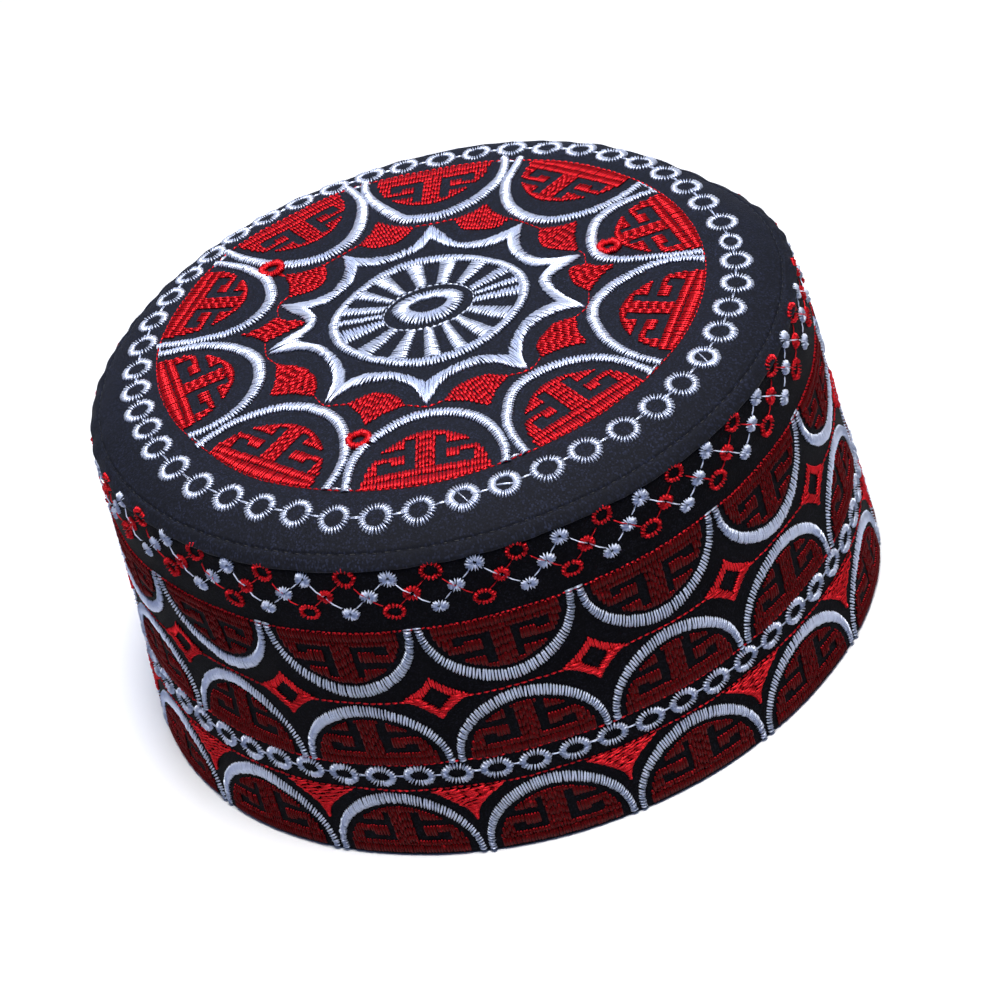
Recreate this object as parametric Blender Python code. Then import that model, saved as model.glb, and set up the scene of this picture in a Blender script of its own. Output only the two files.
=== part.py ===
"""Kufi: a round, flat-topped embroidered cap, as its two sewn cloth pieces.

Metres, +Z up. The cap stands on its rim: the origin is the rim's centre on that surface,
and the front faces -Y. The side band is a slightly flared stiff wall, open below for the head.
The crown panel is a shallow dome whose shoulder slopes down and laps over the band's top edge.
"""
import math

import bpy

# Driving dimensions in millimetres
MM = 0.001
HEAD_CIRCUMFERENCE = 582.0
BAND_THICKNESS = 2.4
CROWN_THICKNESS = 1.3
RIM_RADIUS = HEAD_CIRCUMFERENCE / (2 * math.pi) + BAND_THICKNESS
BAND_TOP_RADIUS = 87.3
BAND_TOP_HEIGHT = 80.7
EDGE_ROUNDING = 0.6
SEWING_GAP = 0.3
SEGMENTS = 90
BAND_LEVELS = 9

# The crown's upper surface from the middle to the lapped edge: radius, height
CROWN_PROFILE = (
    (0.0, 91.4),
    (24.0, 91.1),
    (48.0, 90.2),
    (67.0, 89.0),
    (75.0, 88.2),
    (78.5, 87.4),
    (81.5, 86.1),
    (84.2, 84.6),
    (86.3, 83.2),
    (87.6, 81.9),
)
POINTS_PER_ROW = 2

# Soft unevenness of the cloth wall: angle from +X, height, reach round the wall in degrees,
# reach up it in millimetres, and how far it stands out (negative is a dent)
WALL_DENTS = (
    ("left_dent", 200.0, 36.0, 16.0, 20.0, -1.5),
    ("left_rim_bulge", 222.0, 6.0, 18.0, 18.0, 0.6),
    ("front_dent", 275.0, 52.0, 20.0, 22.0, -0.6),
    ("right_rim_bulge", 336.0, 10.0, 18.0, 24.0, 1.2),
    ("right_bulge", 352.0, 62.0, 22.0, 34.0, 0.9),
    ("back_dent", 80.0, 40.0, 26.0, 26.0, -1.0),
    ("back_left_bulge", 138.0, 34.0, 22.0, 24.0, 0.8),
)
# Where the wall stands a little taller or lower: angle, reach in degrees, rise at the seam
WALL_HEIGHTS = (
    ("left_tall", 206.0, 34.0, 1.6),
    ("right_low", 28.0, 20.0, -2.2),
)
# Soft unevenness of the crown: angle, radius, reach in millimetres, rise
CROWN_SWELLS = (
    ("right_sag", 28.0, 76.0, 22.0, -0.6),
    ("back_left_sag", 140.0, 70.0, 24.0, -0.7),
    ("front_rise", 262.0, 60.0, 28.0, 0.5),
)


def clear_scene():
    for old in list(bpy.data.objects):
        bpy.data.objects.remove(old, do_unlink=True)


def cloth(name, colour, roughness):
    material = bpy.data.materials.new(name)
    material.use_nodes = True
    shader = material.node_tree.nodes["Principled BSDF"]
    shader.inputs["Base Color"].default_value = (*colour, 1.0)
    shader.inputs["Roughness"].default_value = roughness
    shader.inputs["Metallic"].default_value = 0.0
    return material


def angle_between(a, b):
    """Smallest turn between two angles, in degrees."""
    return abs((a - b + 180.0) % 360.0 - 180.0)


def wall_shift(angle, height):
    """How far the wall stands out from its cone at an angle in degrees and a height."""
    total = 0.0
    for _, at, level, reach_round, reach_up, depth in WALL_DENTS:
        along = angle_between(angle, at) / reach_round
        up = (height - level) / reach_up
        total += depth * math.exp(-(along * along + up * up))
    return total


def wall_rise(angle, height):
    """How much taller the wall is at an angle, in full at the seam and none at the rim."""
    share = (height / BAND_TOP_HEIGHT) ** 2
    return share * sum(rise * math.exp(-(angle_between(angle, at) / reach) ** 2)
                       for _, at, reach, rise in WALL_HEIGHTS)


def crown_shift(x, y):
    """How far the crown rises above its profile."""
    total = 0.0
    for _, at, radius, reach, rise in CROWN_SWELLS:
        cx = radius * math.cos(math.radians(at))
        cy = radius * math.sin(math.radians(at))
        total += rise * math.exp(-((x - cx) ** 2 + (y - cy) ** 2) / reach ** 2)
    return total


def smooth_rows(rows, between):
    """A Catmull-Rom curve through the rows, with so many points to each gap."""
    first = (-rows[1][0], rows[1][1])
    last = tuple(2 * b - a for a, b in zip(rows[-2], rows[-1]))
    ends = [first, *rows, last]
    curve = []
    for i in range(1, len(ends) - 2):
        a, b, c, d = ends[i - 1:i + 3]
        for step in range(between):
            t = step / between
            curve.append(tuple(
                0.5 * (2 * q + (r - p) * t + (2 * p - 5 * q + 4 * r - s) * t * t + (3 * q - p - 3 * r + s) * t ** 3)
                for p, q, r, s in zip(a, b, c, d)))
    curve.append(rows[-1])
    return curve


def offset_inward(curve, distance):
    """The curve moved to the cloth's under side, square to its slope."""
    moved = []
    for i, (r, z) in enumerate(curve):
        r0, z0 = curve[max(i - 1, 0)]
        r1, z1 = curve[min(i + 1, len(curve) - 1)]
        length = math.hypot(r1 - r0, z1 - z0)
        moved.append((r + (z1 - z0) / length * distance, z - (r1 - r0) / length * distance))
    moved[0] = (0.0, curve[0][1] - distance)
    return moved


def rounded_end(upper, lower, steps=3):
    """Points of the half circle from the upper edge round to the lower one."""
    cr = (upper[0] + lower[0]) / 2
    cz = (upper[1] + lower[1]) / 2
    ur = upper[0] - cr
    uz = upper[1] - cz
    points = []
    for step in range(1, steps):
        turn = math.pi * step / steps
        points.append((cr + ur * math.cos(turn) + uz * math.sin(turn),
                       cz + uz * math.cos(turn) - ur * math.sin(turn)))
    return points


def crown_section():
    """Upper surface, rounded edge and under surface, from pole to pole."""
    upper = smooth_rows(CROWN_PROFILE, POINTS_PER_ROW)
    lower = offset_inward(upper, CROWN_THICKNESS)
    return upper + rounded_end(upper[-1], lower[-1]) + lower[::-1]


def below_crown(radius):
    """Height just clear of the crown's under side, at a radius near its edge."""
    lower = offset_inward(smooth_rows(CROWN_PROFILE, POINTS_PER_ROW), CROWN_THICKNESS + SEWING_GAP)
    for (r0, z0), (r1, z1) in zip(lower, lower[1:]):
        if r0 <= radius <= r1:
            return z0 + (z1 - z0) * (radius - r0) / (r1 - r0)
    return lower[-1][1]


def band_section():
    """Outer face from the top down, flat rounded rim, inner face, top that follows the crown."""
    flare = (RIM_RADIUS - BAND_TOP_RADIUS) / BAND_TOP_HEIGHT
    low = EDGE_ROUNDING
    inner_top = BAND_TOP_RADIUS - BAND_THICKNESS
    section = []
    for level in range(BAND_LEVELS + 1):
        z = BAND_TOP_HEIGHT + (low - BAND_TOP_HEIGHT) * level / BAND_LEVELS
        section.append((RIM_RADIUS - flare * z, z))
    section.append((RIM_RADIUS - low * 0.35, low * 0.3))
    section.append((RIM_RADIUS - low, 0.0))
    section.append((RIM_RADIUS - BAND_THICKNESS + low, 0.0))
    section.append((RIM_RADIUS - BAND_THICKNESS + low * 0.35, low * 0.3))
    highest = below_crown(inner_top)
    for level in range(BAND_LEVELS + 1):
        z = low + (highest - low) * level / BAND_LEVELS
        section.append((RIM_RADIUS - BAND_THICKNESS - flare * z, z))
    section.append((inner_top + 0.5 * BAND_THICKNESS, below_crown(inner_top + 0.5 * BAND_THICKNESS)))
    return section


def place(radius, height, angle):
    """A point of a turned section, moved with the unevenness of the cloth round it."""
    turn = math.radians(angle)
    radius += wall_shift(angle, height) * (radius / RIM_RADIUS) ** 4
    x = radius * math.cos(turn)
    y = radius * math.sin(turn)
    swell = 0.0
    if height > BAND_TOP_HEIGHT:
        held = max(0.0, 1.0 - (radius / BAND_TOP_RADIUS) ** 12)
        swell = crown_shift(x, y) * held
    spread = min(1.0, radius / BAND_TOP_RADIUS) ** 2
    height += swell + wall_rise(angle, height) * spread
    return (x * MM, y * MM, height * MM)


def turn_section(name, section, material, closed):
    """Turns a section round +Z into one closed body. An open section starts and ends on the axis."""
    angles = [360.0 * i / SEGMENTS for i in range(SEGMENTS)]
    points = []
    rings = []
    for radius, height in section:
        if radius < 1e-9:
            rings.append([len(points)])
            points.append(place(0.0, height, 0.0))
        else:
            rings.append(list(range(len(points), len(points) + SEGMENTS)))
            points.extend(place(radius, height, angle) for angle in angles)
    pairs = list(zip(rings, rings[1:]))
    if closed:
        pairs.append((rings[-1], rings[0]))
    faces = []
    for above, below in pairs:
        for i in range(SEGMENTS):
            j = (i + 1) % SEGMENTS
            if len(above) == 1:
                faces.append((above[0], below[i], below[j]))
            elif len(below) == 1:
                faces.append((above[i], below[0], above[j]))
            else:
                faces.append((above[i], below[i], below[j], above[j]))
    mesh = bpy.data.meshes.new(name)
    mesh.from_pydata(points, [], faces)
    mesh.validate()
    mesh.shade_smooth()
    mesh.set_sharp_from_angle(angle=math.radians(40.0))
    mesh.materials.append(material)
    piece = bpy.data.objects.new(name, mesh)
    bpy.context.collection.objects.link(piece)
    return piece


def side_band():
    fabric = cloth("black_embroidered_cloth", (0.012, 0.012, 0.016), 0.85)
    return turn_section("side_band", band_section(), fabric, closed=True)


def crown_panel():
    fabric = cloth("charcoal_cloth", (0.030, 0.033, 0.045), 0.80)
    return turn_section("crown_panel", crown_section(), fabric, closed=False)


clear_scene()
side_band()
crown_panel()
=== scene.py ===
"""Embroidered kufi: cloth, thread and stage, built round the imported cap.

The cloth pieces follow the same curves as the CAD solids, with a finer mesh. Every stitch is a
small closed arch of thread between two points of the cloth, so the relief is real.
Pattern sizes are in millimetres. A point of the crown is (x, y), and a point of the wall is
(angle from +X in degrees, height); the front of the cap faces -Y, which is 270 degrees.
"""

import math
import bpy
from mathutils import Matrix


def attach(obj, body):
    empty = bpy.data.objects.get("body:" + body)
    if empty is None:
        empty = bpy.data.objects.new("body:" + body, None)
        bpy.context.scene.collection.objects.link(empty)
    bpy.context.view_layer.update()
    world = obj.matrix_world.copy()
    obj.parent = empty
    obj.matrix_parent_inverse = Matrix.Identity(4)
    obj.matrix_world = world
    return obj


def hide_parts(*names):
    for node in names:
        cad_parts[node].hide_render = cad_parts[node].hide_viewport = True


bl_info = {
    "name": "Embroidered Kufi",
    "version": (1, 0, 0),
    "blender": (4, 5, 0),
    "location": "View3D > Sidebar > Kufi",
    "description": "Cloth and embroidery of a round, flat-topped cap",
    "category": "Object",
}

import bpy
import numpy as np
from bpy.props import FloatProperty, FloatVectorProperty, IntProperty, PointerProperty
from bpy.types import Operator, Panel, PropertyGroup
from mathutils import Matrix, Vector

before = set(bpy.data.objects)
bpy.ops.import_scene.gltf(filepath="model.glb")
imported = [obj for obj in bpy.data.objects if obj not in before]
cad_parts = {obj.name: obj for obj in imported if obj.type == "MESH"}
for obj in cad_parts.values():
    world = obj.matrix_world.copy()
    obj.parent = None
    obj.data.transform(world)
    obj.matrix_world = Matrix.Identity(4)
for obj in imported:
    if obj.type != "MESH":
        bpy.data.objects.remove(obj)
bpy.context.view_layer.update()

# The cap's driving sizes in millimetres, as in the CAD source
MM = 0.001
HEAD_CIRCUMFERENCE = 582.0
BAND_THICKNESS = 2.4
CROWN_THICKNESS = 1.3
RIM_RADIUS = HEAD_CIRCUMFERENCE / (2 * math.pi) + BAND_THICKNESS
BAND_TOP_RADIUS = 87.3
BAND_TOP_HEIGHT = 80.7
FLARE = (RIM_RADIUS - BAND_TOP_RADIUS) / BAND_TOP_HEIGHT
EDGE_ROUNDING = 0.6
SEWING_GAP = 0.3
CROWN_PROFILE = (
    (0.0, 91.4),
    (24.0, 91.1),
    (48.0, 90.2),
    (67.0, 89.0),
    (75.0, 88.2),
    (78.5, 87.4),
    (81.5, 86.1),
    (84.2, 84.6),
    (86.3, 83.2),
    (87.6, 81.9),
)
WALL_DENTS = (
    ("left_dent", 200.0, 36.0, 16.0, 20.0, -1.5),
    ("left_rim_bulge", 222.0, 6.0, 18.0, 18.0, 0.6),
    ("front_dent", 275.0, 52.0, 20.0, 22.0, -0.6),
    ("right_rim_bulge", 336.0, 10.0, 18.0, 24.0, 1.2),
    ("right_bulge", 352.0, 62.0, 22.0, 34.0, 0.9),
    ("back_dent", 80.0, 40.0, 26.0, 26.0, -1.0),
    ("back_left_bulge", 138.0, 34.0, 22.0, 24.0, 0.8),
)
# Softer folds that the plain solids leave out, in the same terms
CLOTH_FOLDS = (
    ("left_fold", 217.0, 45.0, 12.0, 21.0, -2.6),
    ("right_shoulder", 4.0, 66.0, 18.0, 16.0, 1.2),
    ("back_right_edge", 32.0, 86.0, 20.0, 12.0, -1.5),
)
WALL_HEIGHTS = (
    ("left_tall", 206.0, 34.0, 1.6),
    ("right_low", 28.0, 20.0, -2.2),
)
CROWN_SWELLS = (
    ("right_sag", 28.0, 76.0, 22.0, -0.6),
    ("back_left_sag", 140.0, 70.0, 24.0, -0.7),
    ("front_rise", 262.0, 60.0, 28.0, 0.5),
)

# Sags of the crown that the plain solids leave out: angle, radius, reach in millimetres, rise
CROWN_FOLDS = (
    ("back_shoulder", 96.0, 82.0, 17.0, -1.0),
)

# Fine unevenness that only the dressed cap has. The ridge lies outside the groove: how far, its
# reach, and its height as a share of the groove's depth
GROOVE_RADIUS = 85.0
GROOVE_REACH = 0.36
GROOVE_RIDGE = (1.1, 0.6, 0.1)
PUCKER_WAVES = 61
PUCKER_HEIGHT = 0.16
PUCKER_REACH = 3.2
CLOTH_SEGMENTS = 480
# The rim's rounding: how far in from the band's face, and height
RIM_ROUNDING = ((0.10, 0.33), (0.27, 0.13), (EDGE_ROUNDING, 0.0))

# The camera: where the photograph was taken from, in degrees and millimetres
CAMERA_ELEVATION = 36.27
CAMERA_ROLL = -16.19
CAMERA_DISTANCE = 729.45
CAMERA_SHIFT = (-6.44, 9.31)
CAMERA_TARGET_HEIGHT = 42.76
CAMERA_LENS = 104.28

# Crown pattern, drawn as it looks from the camera on the plain dome: the border's radius, and
# where it strays from its circle, as angle, reach in degrees and how far out
BORDER_RADIUS = 67.6
BORDER_STRAYS = (
    (128.0, 20.0, 4.3),
    (100.0, 10.0, 2.6),
    (160.0, 18.0, 2.2),
    (205.0, 14.0, -1.3),
    (262.0, 16.0, 0.9),
)
# The red running lines: length of a dash, and the gap after it
RUNNING_STITCH = (1.5, 0.25)
# Scallops: satin at the nose, half width of the fill, and the satin's middle line between the feet
SCALLOP_LEG = 2.5
SCALLOP_SWELL = 1.3
SCALLOPS = (
    (4.7, 15.1, ((-7.2, 70.4), (-7.7, 65.0), (-7.0, 60.0), (-5.4, 55.0), (-3.4, 50.0), (-0.3, 44.2),
                 (5.0, 41.5), (10.0, 40.6), (15.0, 41.9), (20.0, 44.6), (25.4, 50.0), (27.9, 55.0),
                 (29.3, 60.0), (29.4, 62.6))),
    (4.0, 15.4, ((33.4, 60.0), (31.0, 55.0), (28.4, 50.0), (26.9, 45.0), (26.4, 40.0), (26.8, 35.0),
                 (28.6, 30.0), (31.2, 26.2), (35.0, 23.6), (40.0, 22.6), (45.0, 22.8), (50.0, 24.3),
                 (55.0, 27.3), (59.4, 30.6))),
    (3.5, 14.4, ((61.4, 25.5), (57.0, 24.6), (53.0, 23.0), (49.0, 20.6), (45.6, 17.2), (43.6, 12.5),
                 (42.6, 8.0), (42.5, 4.0), (43.3, 0.8), (45.8, -1.7), (50.0, -3.5), (55.0, -4.9),
                 (60.0, -6.1), (67.0, -7.2))),
    (3.6, 16.1, ((66.8, -10.7), (63.0, -8.8), (59.0, -8.0), (55.0, -8.2), (50.0, -9.8), (45.0, -12.0),
                 (40.8, -15.2), (37.9, -19.0), (36.6, -23.5), (36.7, -28.0), (37.8, -34.0),
                 (40.2, -39.5), (43.6, -44.0), (47.9, -47.8))),
    (3.5, 15.2, ((45.2, -50.4), (42.6, -47.2), (39.4, -43.6), (35.0, -40.3), (30.0, -38.7),
                 (25.0, -38.5), (20.0, -39.7), (15.6, -42.0), (12.7, -45.5), (11.0, -50.0),
                 (10.0, -55.0), (10.4, -60.0), (11.6, -65.0), (12.1, -67.0))),
    (3.5, 15.2, ((7.3, -68.2), (7.9, -64.0), (7.7, -60.0), (6.5, -55.0), (4.2, -50.2), (0.2, -46.2),
                 (-4.8, -43.7), (-10.0, -43.0), (-15.0, -44.0), (-20.0, -46.2), (-24.6, -50.0),
                 (-27.4, -54.8), (-29.0, -60.0), (-29.4, -61.8))),
    (3.5, 16.7, ((-33.7, -59.0), (-30.6, -55.0), (-28.0, -50.0), (-27.0, -45.0), (-26.8, -40.0),
                 (-28.0, -34.6), (-31.0, -29.8), (-35.0, -25.8), (-40.0, -23.5), (-45.0, -23.0),
                 (-50.0, -23.2), (-54.0, -24.1), (-58.0, -25.7), (-61.4, -27.7))),
    (3.8, 16.0, ((-62.8, -22.4), (-59.0, -22.2), (-54.6, -21.1), (-50.0, -18.8), (-46.4, -15.0),
                 (-44.0, -10.0), (-43.2, -5.0), (-43.4, -1.0), (-45.0, 3.0), (-47.8, 7.0),
                 (-51.2, 10.4), (-55.0, 13.0), (-59.0, 14.7), (-63.0, 15.7), (-67.2, 16.6))),
    (3.8, 14.6, ((-67.5, 20.5), (-64.0, 19.2), (-60.0, 17.7), (-55.0, 16.4), (-50.0, 15.6),
                 (-46.0, 16.0), (-42.0, 17.8), (-38.8, 21.2), (-37.0, 25.5), (-36.8, 30.0),
                 (-37.5, 35.0), (-39.8, 40.0), (-43.0, 45.2), (-46.6, 49.2), (-49.6, 52.2))),
    (4.6, 15.1, ((-46.3, 56.2), (-43.4, 51.2), (-40.2, 46.8), (-36.4, 42.6), (-31.5, 39.0),
                 (-25.0, 37.1), (-20.0, 37.5), (-15.3, 40.3), (-12.2, 45.0), (-10.5, 50.0),
                 (-9.6, 55.0), (-9.3, 60.0), (-10.3, 65.0), (-12.0, 70.4))),
)
SCALLOP_FILL_DEPTH = 18.6
# Heights above the border where all of a scallop's fill stitches end
SCALLOP_FILL_CUTS = (3.4, 5.8)
# The caps that join the scallops' feet: how far past a foot, how far inside the border
CAP_REACH = 1.4
CAP_INSET = 0.45
# Petals: the side towards the scallops from cusp to cusp, and the side towards the medallion
PETALS = (
    (((-17.5, 35.3), (-13.7, 31.3), (-7.0, 28.3), (-5.0, 28.2), (0.0, 29.3), (3.3, 33.3), (6.4, 37.7)),
     ((-14.2, 27.0), (-10.0, 24.8), (-6.7, 24.2), (0.0, 25.3), (2.7, 27.0), (5.2, 30.0))),
    (((6.4, 37.7), (7.7, 34.3), (9.7, 28.3), (12.0, 24.5), (14.7, 23.3), (18.7, 22.7), (23.0, 23.8),
      (28.6, 26.0)),
     ((5.2, 30.0), (7.3, 26.0), (11.0, 22.0), (15.3, 19.0), (18.0, 18.7), (20.0, 18.7), (23.0, 19.8))),
    (((28.6, 26.0), (27.3, 21.7), (26.3, 17.3), (26.5, 12.3), (28.7, 8.0), (31.0, 6.0), (33.3, 5.0),
      (40.0, 3.9)),
     ((23.0, 19.8), (22.7, 16.7), (22.8, 13.3), (24.7, 6.7), (26.7, 4.3), (29.3, 3.0), (31.0, 2.2))),
    (((40.0, 3.8), (36.7, 1.3), (33.3, -0.5), (31.7, -1.7), (30.5, -4.5), (31.0, -9.0), (33.3, -14.0),
      (36.2, -18.8)),
     ((31.0, 2.2), (29.0, 1.0), (27.3, -2.0), (27.0, -5.0), (27.5, -8.3), (28.3, -11.0), (29.3, -13.5))),
    (((36.2, -19.0), (32.7, -18.2), (29.3, -18.3), (24.0, -20.3), (20.0, -24.7), (18.2, -30.7),
      (18.5, -37.7)),
     ((29.3, -13.5), (26.7, -14.0), (22.0, -16.3), (18.3, -21.0), (15.3, -26.7), (14.8, -29.0))),
    (((18.5, -37.7), (15.3, -35.3), (12.0, -32.0), (7.3, -30.7), (2.7, -31.3), (0.0, -32.5),
      (-2.7, -34.3), (-6.7, -40.5)),
     ((14.8, -29.0), (12.7, -28.3), (7.7, -26.8), (2.7, -27.5), (-2.7, -29.0), (-5.0, -30.2))),
    (((-6.7, -40.5), (-7.7, -35.0), (-8.7, -31.7), (-12.3, -27.3), (-15.0, -26.0), (-21.0, -25.0),
      (-25.0, -25.7), (-29.5, -28.3)),
     ((-5.0, -30.2), (-7.3, -28.0), (-11.7, -23.7), (-16.7, -21.3), (-19.3, -20.8), (-23.3, -21.2))),
    (((-30.0, -28.3), (-28.7, -25.0), (-26.7, -20.0), (-26.7, -15.0), (-27.7, -9.3), (-30.0, -5.3),
      (-33.3, -2.3), (-41.0, 0.0)),
     ((-23.3, -21.0), (-22.8, -16.7), (-24.0, -10.7), (-26.7, -4.0), (-29.3, -1.3), (-31.8, 1.7))),
    (((-41.0, 1.5), (-35.7, 4.8), (-33.3, 5.3), (-30.5, 6.7), (-30.0, 8.3), (-31.5, 12.7), (-33.7, 16.3),
      (-35.7, 20.3)),
     ((-31.8, 1.7), (-30.0, 4.0), (-28.3, 5.0), (-26.8, 9.0), (-27.3, 11.7), (-28.3, 14.5))),
    (((-35.7, 20.4), (-32.0, 19.0), (-27.3, 18.0), (-25.0, 18.2), (-21.7, 19.7), (-18.3, 26.0),
      (-17.5, 30.0), (-17.5, 35.3)),
     ((-28.3, 14.5), (-25.0, 14.2), (-22.3, 14.8), (-18.0, 18.3), (-16.0, 20.7), (-14.2, 27.0))),
)
# Kites: apex, then from its anticlockwise tip along the base to the other tip
KITES = (
    ((-6.8, 46.7), ((-12.8, 37.3), (-10.7, 35.3), (-8.3, 33.5), (-3.3, 33.3), (0.0, 36.0), (2.0, 39.0))),
    ((21.0, 40.3), ((12.2, 36.7), (13.3, 31.3), (15.3, 29.3), (20.7, 27.0), (23.3, 27.7), (25.3, 30.0))),
    ((41.2, 19.7), ((31.7, 21.3), (30.7, 16.7), (31.0, 12.3), (33.3, 9.7), (37.0, 7.0), (38.8, 6.3))),
    ((46.3, -4.2), ((39.5, -0.3), (35.3, -1.0), (34.7, -5.0), (35.3, -8.3), (36.7, -10.7), (37.8, -12.7))),
    ((33.2, -33.0), ((32.8, -21.7), (30.0, -21.7), (27.3, -22.0), (24.7, -24.7), (22.7, -26.7),
                     (21.7, -30.0), (22.0, -34.0))),
    ((7.5, -46.7), ((13.5, -37.7), (11.7, -36.3), (7.7, -34.7), (2.7, -35.3), (0.0, -37.0), (-2.5, -40.0))),
    ((-21.5, -40.5), ((-11.2, -37.7), (-12.3, -34.3), (-13.7, -32.0), (-17.7, -29.2), (-22.0, -29.7),
                      (-24.5, -30.5))),
    ((-42.0, -17.3), ((-31.7, -23.0), (-30.5, -20.0), (-30.3, -16.0), (-31.3, -13.0), (-33.0, -9.7),
                      (-39.0, -5.0))),
    ((-46.5, 12.5), ((-40.7, 6.0), (-35.5, 7.2), (-30.3, 8.4), (-31.3, 10.6), (-34.3, 12.3), (-36.3, 15.5))),
    ((-32.7, 34.3), ((-32.7, 23.2), (-31.3, 22.7), (-26.7, 22.5), (-23.7, 24.3), (-22.3, 28.0),
                     (-22.2, 33.3))),
)
KITE_HOLLOW = 0.9
# Red eyelets: centre, outer radius and hole
RED_EYELETS = (
    ((-35.5, 39.0), (3.7, 4.1), (1.6, 1.5)),
    ((46.2, 4.3), (3.4, 3.3), (1.3, 1.0)),
    ((-23.7, -45.2), (3.4, 3.4), (1.4, 1.3)),
)
EYELET_STITCHES = 34
EYELET_CLEARANCE = 3.0
EYELET_TAIL = ((-33.8, 35.8), (-32.7, 33.8))
# The crown's chain: its circle, the first ring's place, a ring's radius, hole and thread width, and
# how far from a ring's middle a link starts
RING_CHAIN_RADIUS = 75.0
FIRST_RING_ANGLE = 169.4
RING_SIZE = 4.2
RING_HOLE = 2.15
RING_THREAD = 0.53
LINK_START = 3.7
# Where the chain strays from its circle, and where its rings sit round from their even places
CHAIN_STRAYS = (
    (126.0, 14.0, 2.9),
    (149.0, 9.0, 0.8),
    (80.0, 14.0, -1.9),
    (12.0, 16.0, -1.0),
    (308.0, 18.0, 0.8),
    (250.0, 13.0, 1.9),
    (188.0, 14.0, -1.2),
)
CHAIN_TURNS = (
    (144.0, 20.0, -1.6),
    (1.0, 7.0, -1.7),
    (198.0, 15.0, -2.0),
)
# Rings sewn more closely, by their place in the chain, with the way of the thread across each, and
# the ring that is sewn narrow
DENSE_RINGS = {28: 122.0, 34: 18.0, 35: 61.0}
DENSE_EXTRA_TEETH = 6
DENSE_THREAD = 0.60
SQUASHED_RING = 23
SQUASH = 0.72

# Medallion. Its wedges are the dark gaps between the spokes, as their angles at the oval (from, to)
# and at the ring (from, to)
MEDALLION_RADIUS = 24.0
MEDALLION_SATIN = 3.2
WEDGES = (
    (71.4, 82.0, 73.3, 84.2), (42.3, 51.3, 47.9, 57.4), (20.4, 28.5, 23.9, 32.7), (4.4, 6.8, 6.3, 11.4),
    (-6.5, -3.5, -4.3, -2.4), (-24.3, -18.8, -26.9, -16.6), (-46.8, -39.5, -50.7, -43.3),
    (-66.9, -61.0, -71.9, -65.1), (-91.1, -81.4, -88.9, -83.0), (-114.8, -106.8, -112.1, -102.1),
    (-141.3, -130.0, -137.8, -127.0), (-165.8, -157.3, -162.7, -154.0), (-183.0, -181.5, -184.8, -181.1),
    (-195.1, -193.2, -195.7, -191.4), (-215.0, -210.9, -214.7, -206.2), (-231.2, -225.0, -233.9, -227.3),
    (-258.7, -245.0, -260.2, -249.6),
)
OVAL_CENTRE = (0.0, -0.8)
OVAL_LINE = (11.3, 9.1)
# Almond shapes: left end, right end, how far up and down from the line between them, sharpness
EYE_OUTLINE = ((-9.2, 2.3), (9.4, 0.2), 4.95, 9.65, 1.12)
EYE_SLIT = ((-4.3, 1.2), (4.5, -0.1), 1.95, 2.95, 1.25)

# Wall pattern: nominal angle of one junction of the arches, and how the pattern crowds in front, at
# the rim and less with each millimetre up
FRONT_JUNCTION = 279.0
CROWDING_AT_RIM = 0.080
CROWDING_FALL = 0.00145
LEAST_CROWDING = -0.02
# How far up a wall motif its width is measured
MOTIF_MIDDLE = 8.0
# Name, base height, way the arch points, depth, satin at the leg and nose, fill depth
WALL_TIERS = (
    ("upper", 64.2, -1, 18.1, 2.0, 3.7, 13.7),
    ("middle", 26.8, 1, 17.4, 2.0, 3.5, 13.1),
    ("lower", 0.8, 1, 18.4, 2.0, 3.6, 13.9),
)
# Powers that shape an arch, and its half width and its fill's as shares of half a step
ARCH_ROUND_OUT = 1.16
ARCH_ROUND_UP = 0.909
ARCH_HALF_STEP = 0.985
ARCH_FILL_SHARE = 0.795
# Cap over a pair of upper feet, heights where all of a fill's stitches end, and the painted shade that
# darkens their middles, leaving their ends as painted highlights
ARCH_CAP = ((-2.2, -0.3), (0.0, -0.35), (2.2, -0.3))
WALL_FILL_CUTS = (2.4,)
WALL_FILL_PAINTED_SHADE = 2.4
# Red diamonds and corner fills: their places and half sizes, the powers that hollow their sides, and
# the pitch and length of their upright and level stitches
DIAMOND_HEIGHT = 45.2
DIAMOND_HALF = (8.3, 5.9)
DIAMOND_HOLE = (3.4, 3.0)
DIAMOND_HOLLOW = 0.80
DIAMOND_UPRIGHT = (0.66, 3.0)
DIAMOND_LEVEL = (0.45, 2.8)
CORNER_TOP = 19.5
CORNER_POINT = 10.2
CORNER_HALF_WIDTH = 9.6
CORNER_HOLLOW = 1.75
CORNER_LEVEL = (0.42, 3.6)
# The lines that run from diamond to diamond: height, and how far from a diamond's middle in degrees
DIAMOND_LINE = 44.7
DIAMOND_LINE_START = 4.6
# The lines all round: height, dash and gap
ROUND_LINES = ((64.35, 1.0, 0.3), (27.0, 1.6, 0.3), (CORNER_TOP + 0.1, *RUNNING_STITCH))
# The wall's chain: its angle past the junction, its rings' half sizes, and half a link's length
RING_ROW_TURN = -0.6
RING_ROW_HEIGHT = 23.7
RING_ROW_SIZE = (4.1, 3.05)
RING_ROW_HOLE = (2.2, 1.3)
RING_ROW_LINK = 1.3
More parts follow.
